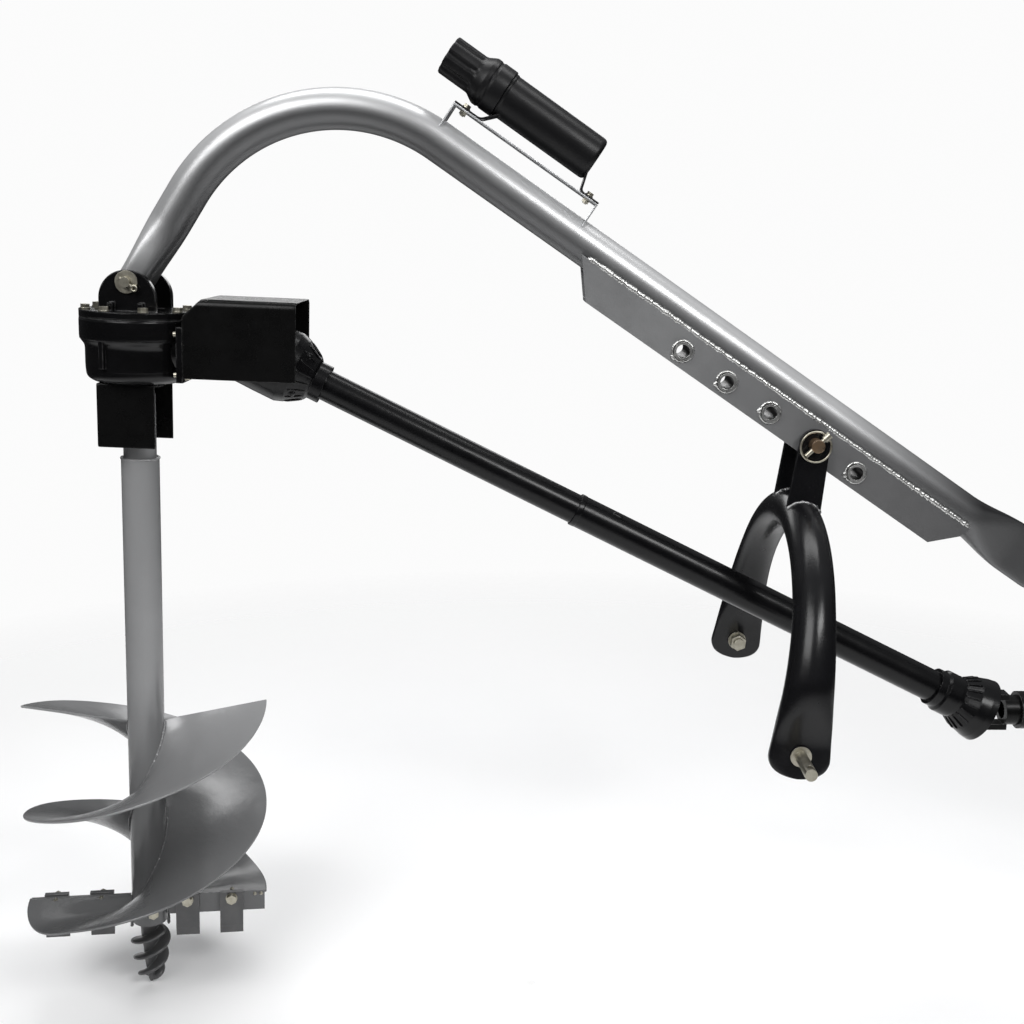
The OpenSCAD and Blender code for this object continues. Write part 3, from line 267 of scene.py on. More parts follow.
def useGroup(tree, group, **values):
    node = tree.nodes.new("ShaderNodeGroup")
    node.node_tree = group
    feed(tree, node.inputs, values)
    return node.outputs


def mathNode(tree, how, a, b, clamp=False):
    node = tree.nodes.new("ShaderNodeMath")
    node.operation = how
    node.use_clamp = clamp
    feed(tree, node.inputs, {0: a, 1: b})
    return node.outputs[0]


def vectorNode(tree, how, a, b, result):
    node = tree.nodes.new("ShaderNodeVectorMath")
    node.operation = how
    feed(tree, node.inputs, {0: a, 1: b})
    return node.outputs[result]


def noiseNode(tree, place, scale, detail=3.0, rough=0.5, distort=0.0):
    node = tree.nodes.new("ShaderNodeTexNoise")
    feed(tree, node.inputs, dict(Vector=place, Scale=scale, Detail=detail, Roughness=rough, Distortion=distort))
    return node.outputs["Fac"]


def rangeNode(tree, value, low, high, toLow=0.0, toHigh=1.0):
    node = tree.nodes.new("ShaderNodeMapRange")
    feed(tree, node.inputs, {"Value": value, "From Min": low, "From Max": high, "To Min": toLow, "To Max": toHigh})
    return node.outputs["Result"]


def mixColor(tree, factor, a, b):
    node = tree.nodes.new("ShaderNodeMix")
    node.data_type = "RGBA"
    feed(tree, node.inputs, {0: factor, 6: a, 7: b})  # its inputs for a colour mix
    return node.outputs[2]


def axisOf(tree, vector, axis):
    node = tree.nodes.new("ShaderNodeSeparateXYZ")
    feed(tree, node.inputs, {0: vector})
    return node.outputs[axis]


def normalOf(tree, kind="Normal"):
    return tree.nodes.new("ShaderNodeNewGeometry").outputs[kind]


# Shader groups: each is built once and puts out only colours, masks, heights and normals.
# In their dictionaries a noise is its scale, where no finish gives it, detail, roughness and distortion
vec, num, col = "NodeSocketVector", "NodeSocketFloat", "NodeSocketColor"
skinPattern = dict(mottle=(5, 0.6, 0.4), mottleSpan=(0.32, 0.68), wander=(31.0, 4, 0.65), wanderSpan=(0.3, 0.7),
                   peel=(2, 0.5))
edgePattern = dict(samples=4, patch=(55.0, 4, 0.7), patchSpan=(0.38, 0.62))
scuffPattern = dict(streak=(1.0, 3, 0.6, 0.3), width=0.1)
dustPattern = dict(upSpan=(0.35, 1.0), cloud=(17.0, 6, 0.7), cloudSpan=(0.35, 0.75))


def buildPaintSkin(look):
    # Two tones drift over the surface, with a fine orange peel height and a roughness that wanders
    tree, i, z = newGroup("paintSkin", dict(Place=vec, Tone=col, Second=col, Mottle=num, Peel=num, Low=num, High=num),
                          dict(Color=col, Roughness=num, Height=num))
    mottle = rangeNode(tree, noiseNode(tree, i["Place"], i["Mottle"], *look["mottle"]), *look["mottleSpan"])
    wander = noiseNode(tree, i["Place"], *look["wander"])
    feed(tree, z, dict(Color=mixColor(tree, mottle, i["Tone"], i["Second"]),
                       Roughness=rangeNode(tree, wander, *look["wanderSpan"], i["Low"], i["High"]),
                       Height=noiseNode(tree, i["Place"], i["Peel"], *look["peel"])))
    return tree


def buildEdgeSoft(look):
    # Compares a rounded normal with the true one: where they differ an edge is rubbed, in patches, and the same mask
    # lays a painted edge glint
    tree, i, z = newGroup("edgeSoft", dict(Place=vec, Radius=num, Gain=num), dict(Mask=num, Normal=vec))
    bevel = tree.nodes.new("ShaderNodeBevel")
    bevel.samples = look["samples"]
    feed(tree, bevel.inputs, dict(Radius=i["Radius"]))
    same = vectorNode(tree, "DOT_PRODUCT", bevel.outputs["Normal"], normalOf(tree), "Value")
    mask = mathNode(tree, "MULTIPLY", mathNode(tree, "SUBTRACT", 1.0, same), i["Gain"], True)
    patch = rangeNode(tree, noiseNode(tree, i["Place"], *look["patch"]), *look["patchSpan"])
    feed(tree, z, dict(Mask=mathNode(tree, "MULTIPLY", mask, patch, True), Normal=bevel.outputs["Normal"]))
    return tree


def buildScuffs(look):
    # Long thin streaks: noise squeezed across the piece and kept only where it peaks
    tree, i, z = newGroup("scuffs", dict(Place=vec, Stretch=vec, Cut=num), dict(Mask=num))
    streak = noiseNode(tree, vectorNode(tree, "MULTIPLY", i["Place"], i["Stretch"], 0), *look["streak"])
    top = mathNode(tree, "ADD", i["Cut"], look["width"])
    feed(tree, z, dict(Mask=rangeNode(tree, streak, i["Cut"], top)))
    return tree


def buildDustFilm(look):
    # Dust lies where the surface looks up, broken by noise
    tree, i, z = newGroup("dustFilm", dict(Place=vec, Amount=num), dict(Mask=num))
    up = rangeNode(tree, axisOf(tree, normalOf(tree), "Z"), *look["upSpan"])
    cloud = rangeNode(tree, noiseNode(tree, i["Place"], *look["cloud"]), *look["cloudSpan"])
    lying = mathNode(tree, "MULTIPLY", up, cloud)
    feed(tree, z, dict(Mask=mathNode(tree, "MULTIPLY", lying, i["Amount"], True)))
    return tree


paintSkin, edgeSoft = buildPaintSkin(skinPattern), buildEdgeSoft(edgePattern)
scuffs, dustFilm = buildScuffs(scuffPattern), buildDustFilm(dustPattern)

# What a finish has unless it says otherwise. Lengths are in metres
plain = dict(peel=900, round=0.0015, gain=5, worn=0.5, cut=0.62, dust=0.0, metal=0.0, ior=1.5, bump=0.12,
             depth=0.001)
# the colour of the painted shade inside bores and the span of facing over which it fades in, then the dust's own
# colour
boreTone, boreSpan, dustTone = (0.035, 0.034, 0.033), (0.4, 0.7), (0.42, 0.41, 0.39)


def finishMaterial(name, look):
    look = {**plain, **look}
    material = bpy.data.materials.new(name)
    material.use_nodes = True
    tree = material.node_tree
    shader = tree.nodes["Principled BSDF"]
    place = tree.nodes.new("ShaderNodeTexCoord").outputs["Object"]
    skin = useGroup(tree, paintSkin, Place=place, Tone=look["tone"], Second=look["second"], Mottle=look["mottle"],
                    Peel=look["peel"], Low=look["rough"][0], High=look["rough"][1])
    edge = useGroup(tree, edgeSoft, Place=place, Radius=look["round"], Gain=look["gain"])
    color = skin["Color"]
    if "shade" in look:  # painted shade: the colour darkens along one axis, towards the tractor on the boom and channel, and down the auger
        axis, start, end, dark = look["shade"]
        color = mixColor(tree, rangeNode(tree, axisOf(tree, place, axis), start, end), color, dark)
    if "under" in look:  # painted shade: the colour darkens where the surface faces down, away from the sky
        high, low, dark = look["under"]
        color = mixColor(tree, rangeNode(tree, axisOf(tree, normalOf(tree), "Z"), high, low), color, dark)
    # edge wear and painted edge glint: edges take a lighter colour, in patches
    color = mixColor(tree, mathNode(tree, "MULTIPLY", edge["Mask"], look["worn"]), color, look["wearAndGlint"])
    if "scuff" in look:
        stretch, amount, scuffTone = look["scuff"]
        marks = useGroup(tree, scuffs, Place=place, Stretch=stretch, Cut=look["cut"])
        color = mixColor(tree, mathNode(tree, "MULTIPLY", marks["Mask"], amount), color, scuffTone)
    if "bore" in look:  # painted shade: dark inside the bores, whose faces look along neither side
        sideways = mathNode(tree, "ABSOLUTE", axisOf(tree, normalOf(tree, "True Normal"), "Y"), 0.0)
        color = mixColor(tree, rangeNode(tree, sideways, *boreSpan), boreTone, color)
    dust = useGroup(tree, dustFilm, Place=place, Amount=look["dust"])
    height = skin["Height"]
    if "grain" in look:  # a coarser cast or moulded grain under the peel
        scale, share = look["grain"]
        grain = noiseNode(tree, place, scale, 4, 0.6)
        height = mathNode(tree, "ADD", height, mathNode(tree, "MULTIPLY", grain, share))
    bump = tree.nodes.new("ShaderNodeBump")
    feed(tree, bump.inputs, dict(Strength=look["bump"], Distance=look["depth"], Height=height, Normal=edge["Normal"]))
    feed(tree, shader.inputs, {"Base Color": mixColor(tree, dust["Mask"], color, dustTone), "IOR": look["ior"],
                               "Roughness": skin["Roughness"], "Metallic": look["metal"],
                               "Normal": bump.outputs["Normal"]})
    if "varnish" in look:
        feed(tree, shader.inputs, dict(zip(("Coat Weight", "Coat Roughness"), look["varnish"])))
    return material


def coat(tone, second, rough, wearAndGlint, **more):
    return dict(tone=tone, second=second, rough=rough, wearAndGlint=wearAndGlint, **more)


# In these finishes the darkening along an axis and on the underside is painted shade, as is the dark inside the
# bores; the lighter edge mark is wear and a painted glint
looks = dict(
    boomPaint=coat((0.53, 0.533, 0.537), (0.59, 0.593, 0.597), (0.32, 0.38), 0.7, worn=0.2, metal=0.55, mottle=4,
        peel=700, bump=0.05, under=(0.6, -0.2, (0.125, 0.126, 0.128)),
        shade=(0, -0.42, -0.12, (0.02, 0.02, 0.021))),
    channelPaint=coat((0.2, 0.202, 0.205), (0.235, 0.237, 0.24), (0.4, 0.5), 0.7, worn=0.6, metal=0.45,
        mottle=5, peel=600, bump=0.1, shade=(0, -0.75, -0.12, (0.11, 0.11, 0.112))),
    bushSteel=coat((0.55, 0.55, 0.54), (0.4, 0.4, 0.39), (0.26, 0.4), (0.8, 0.79, 0.75), metal=0.9, mottle=90,
        peel=700, bore=True),
    weldMetal=coat((0.66, 0.66, 0.65), (0.4, 0.4, 0.39), (0.22, 0.4), (0.9, 0.9, 0.88), worn=0.4, metal=0.85,
        mottle=60, peel=420, bump=0.15),
    darkWeld=coat((0.1, 0.1, 0.102), 0.38, (0.18, 0.32), 0.8, worn=0.7, metal=0.75, mottle=70, peel=420,
        bump=0.3),
    glossBlack=coat((0.0035, 0.0035, 0.004), (0.006, 0.006, 0.007), (0.2, 0.28), 0.2, worn=0.3, mottle=6,
        peel=300, bump=0.2, ior=1.32, varnish=(0.12, 0.16), dust=0.003),
    guardBlack=coat(0.002, 0.0035, (0.24, 0.34), 0.3, mottle=4, peel=800, bump=0.1, ior=1.25, gain=7,
        round=0.002, dust=0.004, cut=0.68, scuff=((90, 60, 14), 0.1, 0.06)),
    castBlack=coat((0.002, 0.002, 0.0022), (0.004, 0.004, 0.0044), (0.16, 0.26), 0.2, worn=0.4, mottle=8,
        peel=420, grain=(110.0, 0.8), round=0.004, ior=1.33, varnish=(0.15, 0.1), dust=0.006),
    tubePlastic=coat((0.002, 0.002, 0.0024), (0.004, 0.004, 0.0044), (0.2, 0.28), 0.06, worn=0.2, mottle=7,
        peel=160, bump=0.02, ior=1.32, round=0.002, gain=3, cut=0.6,
        scuff=((4, 260, 90), 0.04, (0.05, 0.05, 0.052))),
    canPlastic=coat((0.004, 0.004, 0.0045), (0.007, 0.007, 0.0075), (0.32, 0.38), 0.06, worn=0.3, mottle=8,
        peel=1300, bump=0.03, ior=1.3, round=0.003, gain=3, dust=0.003),
    galvanised=coat((0.72, 0.73, 0.74), (0.56, 0.57, 0.58), (0.28, 0.44), 0.9, worn=0.6, metal=0.85, mottle=55,
        peel=260, bump=0.08),
    zinc=coat((0.46, 0.44, 0.37), (0.33, 0.31, 0.25), (0.26, 0.42), (0.8, 0.79, 0.75), metal=0.9, mottle=90,
        peel=700, round=0.0008, dust=0.03),
    yellowZinc=coat((0.42, 0.27, 0.16), (0.34, 0.25, 0.17), (0.25, 0.4), (0.75, 0.7, 0.6), worn=0.4, metal=0.9,
        mottle=70, peel=700, bump=0.1, dust=0.03),
    bareSteel=coat(0.42, (0.28, 0.275, 0.27), (0.28, 0.45), 0.7, metal=0.95, mottle=45, peel=600,
        scuff=((40, 300, 40), 0.3, (0.2, 0.19, 0.18))),
    augerPaint=coat((0.255, 0.257, 0.26), (0.28, 0.282, 0.285), (0.19, 0.27), 0.45, worn=0.4, metal=0.15,
        mottle=3.5, peel=420, bump=0.14, grain=(10.0, 12.0), dust=0.01,
        shade=(2, -0.24, -0.66, (0.12, 0.121, 0.123))),
    toothSteel=coat((0.08, 0.08, 0.082), (0.105, 0.105, 0.106), (0.3, 0.45), 0.3, worn=0.6, metal=0.4, mottle=20,
        peel=300, bump=0.16, dust=0.02),
    nylon=coat((0.72, 0.7, 0.62), (0.66, 0.63, 0.54), (0.4, 0.5), (0.8, 0.78, 0.7), worn=0.3, mottle=20,
        bump=0.08, dust=0.15),
    sealRubber=coat(0.02, 0.03, (0.5, 0.65), 0.06, worn=0.3, mottle=20, peel=500, bump=0.15, dust=0.15))
paints = {name: finishMaterial(name, look) for name, look in looks.items()}

wearer = dict(
    boomPaint="boom_tube boom_tip_bush",
    channelPaint="stiffener_channel",
    bushSteel="pin_bushes",
    zinc="canister_bolts cover_bolts hanger_pin hanger_washers hanger_cotters fill_plug guard_bolts shear_bolt "
         "auger_bolts tooth_bolts lower_hitch_pins hitch_pin_nuts lynch_pin lynch_ring",
    yellowZinc="yoke_pin",
    bareSteel="top_link_bush output_shaft ring_gear pinion_shaft pinion_gear inner_drive_bar outer_drive_tube "
              "pinion_bearings output_bearings input_cross rear_cross",
    galvanised="canister_bracket",
    canPlastic="canister_body canister_cap",
    tubePlastic="front_shield_tube front_bell rear_shield_tube rear_bell",
    castBlack="gearbox_housing gearbox_cover",
    guardBlack="pto_guard auger_guard input_yoke front_drive_yoke rear_drive_yoke tractor_yoke lock_collar",
    glossBlack="lift_yoke yoke_ears",
    sealRubber="cover_gasket input_seal output_seal",
    nylon="front_shield_ring rear_shield_ring",
    augerPaint="auger_hub auger_pipe auger_flight_a auger_flight_b cutter_plates pilot_bit",
    toothSteel="cutter_teeth")
painted = [(paint, node) for paint, nodes in wearer.items() for node in nodes.split()]
for paint, node in painted:
    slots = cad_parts[node].material_slots
    if len(slots) == 0:
        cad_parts[node].data.materials.append(paints[paint])
    for slot in slots:
        slot.material = paints[paint]
print("stage: materials on", len(painted), "nodes")

# Boom: one skin from the flat tongue over the bend to the pressed tip.
# Its two ends have rows at these distances from their faces, and its four runs between them have these counts
boomShape = dict(noseRows=(0, 0.4, 1.5, 4, 8, 14, 22, 32, 42), toeRows=(22, 16, 10, 6, 3, 1, 0.3, 0),
                 rows=(40, 60, 110, 56), sides=72, tongueFull=56, tongueRound=190, pressStart=60, pressEnd=176,
                 tongueSquare=7.0, tipSquare=4.2, boreR=16.6, boreHalf=60)


def boomSkin(look):
    # A section with two half widths and a squareness runs along straight, arc and straight; both ends round off
    half, drop, boomR = layout["tongueH"] / 2, layout["tipEnd"], layout["boomR"]
    tongue, pipe, arc, pressed = look["rows"]
    front = join([half - np.array(look["noseRows"]), np.linspace(half - 48, -look["tongueRound"], tongue),
                  np.linspace(-look["tongueRound"] - 12, 8 - straight, pipe)])
    phi = np.linspace(np.pi / 2, bend, arc)
    tail = join([np.linspace(6, tipLen, pressed), tipLen + drop - np.array(look["toeRows"])])
    x = join([front, -straight + bendR * np.cos(phi),
              -straight + bendR * math.cos(bend) - tail * math.sin(bend)])
    z = join([front * 0, -bendR + bendR * np.sin(phi), -bendR + bendR * math.sin(bend) + tail * math.cos(bend)])
    normalX = join([front * 0, np.cos(phi), np.full(len(tail), math.cos(bend))])
    normalZ = join([front * 0 + 1, np.sin(phi), np.full(len(tail), math.sin(bend))])
    far = -9999.0  # the way along an end for rows that aren't on it
    start = join([front, np.full(len(phi) + len(tail), far)])
    end = join([np.full(len(front) + len(phi), far), tail])
    flatT = 1 - ease((-start - look["tongueFull"]) / (look["tongueRound"] - look["tongueFull"]))
    pressT = ease((end - look["pressStart"]) / (look["pressEnd"] - look["pressStart"]))
    high = boomR + (half - boomR) * flatT + (drop - boomR) * pressT
    wide = boomR + (layout["tongueT"] / 2 - boomR) * flatT + (layout["tipHalf"] - boomR) * pressT
    square = 2 + (look["tongueSquare"] - 2) * flatT ** 1.5 + (look["tipSquare"] - 2) * pressT
    nose = np.clip(start, 0, half) / half
    toe = np.clip(end - tipLen, 0, drop) / drop
    high = high * np.sqrt(np.clip(1 - nose ** 2, 0.0004, 1)) * np.sqrt(np.clip(1 - toe ** 2, 0.0004, 1))
    c, s = circle(look["sides"])
    power = (2 / square)[:, None]
    across, out = wide[:, None] * bulge(c, power), high[:, None] * bulge(s, power)
    return skinPart(boomSpot, x[:, None] + out * normalX[:, None], across, z[:, None] + out * normalZ[:, None])


def cutBore(piece, radius, half, sides=48):
    # A round bore along y through the origin, in metres, taken out of the finished skin
    c, s = circle(sides)
    v, q, t = gridPart(xyz(radius * c, np.array([[-half], [half]]), radius * s))
    borer = meshObject("borer", v, q.tolist() + t.tolist())
    cut = piece.modifiers.new("bore", "BOOLEAN")
    cut.operation, cut.solver, cut.object = "DIFFERENCE", "EXACT", borer
    result = bpy.data.meshes.new_from_object(piece.evaluated_get(bpy.context.evaluated_depsgraph_get()))
    piece.modifiers.clear()
    piece.data = result
    bpy.data.objects.remove(borer)


boom = makePiece("boomSkin", [boomSkin(boomShape)], "boomPaint", "boom", sharp=50)
cutBore(boom, boomShape["boreR"] / 1000, boomShape["boreHalf"] / 1000)
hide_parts("boom_tube")

# Welds along the channel and round the bushes
weldShape = dict(channelR=5.6, channelY=41.0, channelZ=-16.6, start=-172, end=-1082, ringR=19.2, ringBead=3.1,
                 face=44.6, blobR=6.0, blobWave=0.12, blobFlat=0.55)
channelBeads = []
for side in (-1, 1):
    run = np.arange(weldShape["start"], weldShape["end"], -1.6)
    path = xyz(run, side * weldShape["channelY"], weldShape["channelZ"])
    channelBeads.append(bead(boomSpot, path, weldShape["channelR"], 11 + side, pitch=6.0, sides=10))
makePiece("channelWelds", channelBeads, "weldMetal", "boom", sharp=0)

bushBeads = []
for i in range(layout["bushCount"]):
    centre = -layout["bushFirst"] - i * layout["bushPitch"]
    for side in (-1, 1):
        t = np.linspace(0, 2 * np.pi, 97)
        path = xyz(centre + weldShape["ringR"] * np.cos(t), side * weldShape["face"],
                   -layout["bushDepth"] + weldShape["ringR"] * np.sin(t))
        bushBeads.append(bead(boomSpot, path, weldShape["ringBead"], 40 + 2 * i + side, pitch=4.5, sides=8,
                              ring=True, flat=0.9))
        # the blob where each ring was started and stopped: a squat ball with a wavy radius
        u, v = ballGrid(20, 0.12)
        wave = weldShape["blobR"] * (1 + weldShape["blobWave"] * np.sin(3 * v + i) * np.sin(u))
        spin = deg(225 + 25 * math.sin(i * 2.1))
        px = centre + (weldShape["ringR"] + 1) * math.cos(spin)
        pz = -layout["bushDepth"] + (weldShape["ringR"] + 1) * math.sin(spin)
        py = side * weldShape["face"] + weldShape["blobFlat"] * wave * np.cos(u)
        bushBeads.append(skinPart(boomSpot, px + wave * np.sin(u) * np.cos(v), py,
                                  pz + wave * np.sin(u) * np.sin(v)))
makePiece("bushWelds", bushBeads, "weldMetal", "boom", sharp=0)
print("stage: boom")

# Canister: rounded shell over the moulded body, its two feet, and the cap with its fluted grip
canShape = dict(r=42, len=206, start=1168, wall=3, lip=1.4, capGap=0.4, skirtR=46.5, skirtLen=46, groove=1.6,
                gripR=37, gripLen=78, flutes=8, fluteDepth=4.2)
footShape = dict(thick=4, half=23, bend=7, powers=(0.12, 0.5),
                 paths=(((-1441, 75.2), (-1386, 75.2), (-1359, 104)), ((-1120, 75.2), (-1160, 75.2), (-1171, 112))))


def canShell(look):
    # A turned wall: rounded closed end, straight side and a small lip next to the cap
    x0, x1, r = -look["start"], -look["start"] - look["len"], look["r"]
    lip, inner, floor = r + look["lip"], r - look["wall"], x0 - look["wall"]
    wall = softProfile([(x0, 0.01), (x0, r), (x1 + 6, r), (x1 + 4, lip), (x1, lip), (x1, inner), (floor, inner),
                        (floor, 0.01)], [0, 11, 1.5, 1.2, 0.8, 0.8, 3, 0], 9)
    return lathe(boomSpot, wall, "x", 96, (0, 0, layout["canHeight"]))


def capShell(look):
    # A turned cap: the grip's radius dips at each flute, by a cosine raised to a power, and not at its ends
    x0 = -look["start"] - look["len"] - look["capGap"]
    xs, xe = x0 - look["skirtLen"], x0 - look["skirtLen"] - look["gripLen"]
    grip, skirt, inner = look["gripR"], look["skirtR"], look["skirtR"] - look["wall"]
    groove = skirt - look["groove"]
    wall = softProfile([(xe + 5, 0.01), (xe + 5, grip - 9), (xe, grip - 8), (xe, grip), (xe + 26, grip),
                        (xe + 46, grip), (xs - 14, grip), (xs - 3, inner), (xs + 3, skirt), (xs + 12, skirt),
                        (xs + 14, groove), (xs + 17, groove), (xs + 19, skirt), (x0, skirt), (x0, inner),
                        (xs + 3, inner), (xs + 3, grip - 8), (xe + 9, grip - 8), (xe + 9, 0.01)],
                       [0, 2, 1, 4, 0, 0, 5, 5, 2, 0, 1, 1, 0, 1.2, 1, 2, 0, 2, 0], 6)

    def flute(x, r, t):
        dip = np.clip(np.cos(look["flutes"] * t), 0, 1) ** 0.8
        mask = ease((xs - 10 - x) / 12) * (r > grip - 7) * (x < xs - 6)
        return look["fluteDepth"] * dip * mask

    return lathe(boomSpot, wall, "x", 160, (0, 0, layout["canHeight"]), flute)


feet = [bentSheet(boomSpot, path, -footShape["half"], footShape["half"], "uwv", footShape["bend"],
                  footShape["thick"], 6, 28, footShape["powers"]) for path in footShape["paths"]]
shell = makePiece("canisterShell", [canShell(canShape)] + feet, "canPlastic", "boom", sharp=35)
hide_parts("canister_body")
cap = makePiece("canisterCapShell", [capShell(canShape)], "canPlastic", "canister_cap", sharp=35)
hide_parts("canister_cap")
print("stage: canister")

# Gearbox: a skin with cast radii over the turned body, and the cast gussets of the cover
castShape = dict(bottom=190, top=68, band=40, bodyR=96.5, bandR=106.5, footR=78, mouthR=62, innerR=90)
coverShape = dict(ribX=28, ribHalf=4.6, ribH=17, ribRun=26, ribFoot=-54.5, earOut=63)


def housingSkin(look):
    # A turned profile with generous radii, closed inside the wall
    b, t, h = -look["bottom"], -look["top"], look["band"]
    body, band, inner = look["bodyR"], look["bandR"], look["innerR"]
    wall = softProfile([(b - 0.2, look["mouthR"]), (b - 0.2, look["footR"]), (b + 9, body - 2), (b + 30, body),
                        (t - h - 12, body), (t - h, band), (t - 4, band), (t - 0.4, band - 1.5), (t - 0.4, inner),
                        (b + 34, inner), (b + 5, look["mouthR"] + 4)], [0, 6, 9, 8, 9, 7, 3, 1, 0, 0, 0], 8)
    wall = np.vstack([wall, wall[:1] + [0.3, 0.2]])
    return lathe(gearSpot, wall, "z", 128, ring=True)


def coverGusset(look, x, side):
    # It runs from the cover up the ear: its height falls off with a power of the distance out
    u = np.linspace(0, 1, 12)
    out = look["earOut"] - 3 + u * look["ribRun"]
    height = 2 + look["ribH"] * (1 - u) ** 1.8
    c, s = circle(12)
    return skinPart(gearSpot, x + look["ribHalf"] * bulge(c, 0.5), side * out[:, None],
                    look["ribFoot"] + height[:, None] * (0.5 + 0.5 * bulge(s, 0.5)))


makePiece("housingSkin", [housingSkin(castShape)], "castBlack", "gearbox", sharp=35)
gussets = [coverGusset(coverShape, x * coverShape["ribX"], side) for side in (-1, 1) for x in (-1, 1)]
makePiece("coverGussets", gussets, "castBlack", "gearbox")
print("stage: gearbox")

# Guards: bent sheets over the joint and round the output shaft. Their middle lies half a thickness inside
guard = dict(half=82, x0=105, x1=316, top=25, bottom=173, cutX=36, cutZ=34, t=3, bend=7, tab=24,
             shaftHalf=66, shaftBack=63, shaftFront=48, shaftTop=190.4, shaftLen=121, shaftBend=8, flangeIn=38)
mid = guard["t"] / 2
hoodHalf, hoodTop = guard["half"] - mid, -guard["top"] - mid
cutBottom = -guard["top"] - guard["cutZ"]


def hoodStart(path):  # the sides start further back above the chamfer
    return guard["x0"] + guard["cutX"] * np.clip((path[:, 1] - cutBottom) / guard["cutZ"], 0, 1)


def hoodPath(steps=24):
    # Up one side, across the top and down the other; the corners go and the points near them move onto an arc
    corners = np.array([[-hoodHalf, -guard["bottom"]], [-hoodHalf, hoodTop], [hoodHalf, hoodTop],
                        [hoodHalf, -guard["bottom"]]])
    share = np.linspace(0, 1, steps + 1)[:-1, None]
    path = np.vstack([a + (b - a) * share for a, b in zip(corners[:-1], corners[1:])] + [corners[-1:]])
    path = np.delete(path, (steps, 2 * steps), axis=0)
    aside, below, r = hoodHalf - np.abs(path[:, 0]), hoodTop - path[:, 1], guard["bend"]
    angle = np.arctan2(r - below, r - aside)
    arc = np.stack([np.sign(path[:, 0]) * (hoodHalf - r + r * np.cos(angle)), hoodTop - r + r * np.sin(angle)], -1)
    return np.where(((aside < r) & (below < r))[:, None], arc, path)


def gearSheet(path, across, bend=0):  # a sheet whose path is seen from the side, between two stations across
    return bentSheet(gearSpot, path, min(across), max(across), "uwv", bend)


frontX, cutTop = guard["x0"] + mid, guard["x0"] + guard["cutX"]
slope = gearSheet([(frontX, cutBottom - 12), (frontX, cutBottom + mid), (cutTop, hoodTop), (cutTop + 12, hoodTop)],
                  (4 - guard["half"], guard["half"] - 4), 4)
tabs = [gearSheet([(frontX, -guard["bottom"]), (frontX, cutBottom - 4)],
                  (k * (guard["half"] - 1), k * (guard["half"] - guard["tab"]))) for k in (-1, 1)]
hood = bentSheet(gearSpot, hoodPath(), hoodStart, guard["x1"], "wuv")
hoodPiece = makePiece("hoodSheet", [hood, slope] + tabs, "guardBlack", "gearbox", sharp=50)
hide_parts("pto_guard")

backX, sideY, flangeZ = mid - guard["shaftBack"], guard["shaftHalf"] - mid, -guard["shaftTop"] - mid
shaftSheet = bentSheet(gearSpot, [(guard["shaftFront"], -sideY), (backX, -sideY), (backX, sideY),
                                  (guard["shaftFront"], sideY)],
                       -guard["shaftTop"] - guard["shaftLen"], -guard["shaftTop"] - 0.4, "uvw", guard["shaftBend"])
flanges = [gearSheet([(3 - guard["shaftBack"], flangeZ), (22 - guard["shaftBack"], flangeZ)],
                     (3 - guard["shaftHalf"], guard["shaftHalf"] - 3))]
flanges += [gearSheet([(3 - guard["shaftBack"], flangeZ), (guard["shaftFront"], flangeZ)],
                      (k * guard["flangeIn"], k * (guard["shaftHalf"] - 1))) for k in (-1, 1)]
shaftPiece = makePiece("shaftSheet", [shaftSheet] + flanges, "guardBlack", "gearbox", sharp=50)
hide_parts("auger_guard")
print("stage: guards")

# Driveline: fins on the bells, the collar at the step and the small catches.
# A bell is (station, radius), a catch's size its half length, half width and height
bellShape = dict(front=((84, 63), (108, 48), (116, 43)), rear=((34, 57.5), (52, 47), (60, 43)), frontFins=18,
                 rearFins=20, finHalf=2.0, finHigh=3.2, catchX=92, catchR=55, catchSize=(9, 7, 6),
                 catchAngles=(40, 130, 220, 310))
tubeShape = dict(step=686, rearR=32.5, catchX=764, catchAngle=118, catchSize=(11, 5, 3))


def finRow(spot, profile, count, flip, look):
    # Fins stand on a turned profile: each is a narrow closed bar carried along it
    parts, rows, sides = [], 14, 10
    station, radius = np.array(profile, float).T
    st = np.linspace(station[0], station[-1], rows)
    base = np.interp(st, station, radius)
    lift = look["finHigh"] * np.sqrt(np.clip(1 - (2 * (np.arange(rows) / (rows - 1)) - 1) ** 4, 0.01, 1))
    c, s = circle(sides)
    for k in range(count):
        a = 2 * np.pi * (k + 0.5) / count
        r = base[:, None] - 2 + (lift[:, None] + 2) * (0.5 + 0.5 * bulge(s, 0.6))
        w = look["finHalf"] * bulge(c, 0.6)
        parts.append(skinPart(spot, flip * st[:, None], r * math.cos(a) - w * math.sin(a),
                              r * math.sin(a) + w * math.cos(a)))
    return parts


def stepCollar(look):
    # A turned ring that rounds off the start of the outer tube
    s, r = look["step"], look["rearR"]
    wall = softProfile([(s - 0.5, r - 2.2), (s - 0.5, r + 0.7), (s + 9, r + 0.7), (s + 11, r + 0.1),
                        (s + 11, r - 2.2), (s - 0.5, r - 2.2)], [0, 1.1, 0.6, 0.4, 0, 0], 5)
    return lathe(frontSpot, wall[:-1], "x", 80, ring=True)


def tubeCatch(x, angle, r, size):
    # A low rounded pad on a tube: its plan is a superellipse
    length, wide, high = size
    u, v = ballGrid(24, 0.06)
    dx = length * bulge(np.cos(v), 0.5) * np.sin(u)
    dw = wide * bulge(np.sin(v), 0.5) * np.sin(u)
    dr = r + high * np.cos(u)
    a = deg(angle)
    return skinPart(frontSpot, x + dx, dr * math.cos(a) - dw * math.sin(a), dr * math.sin(a) + dw * math.cos(a))


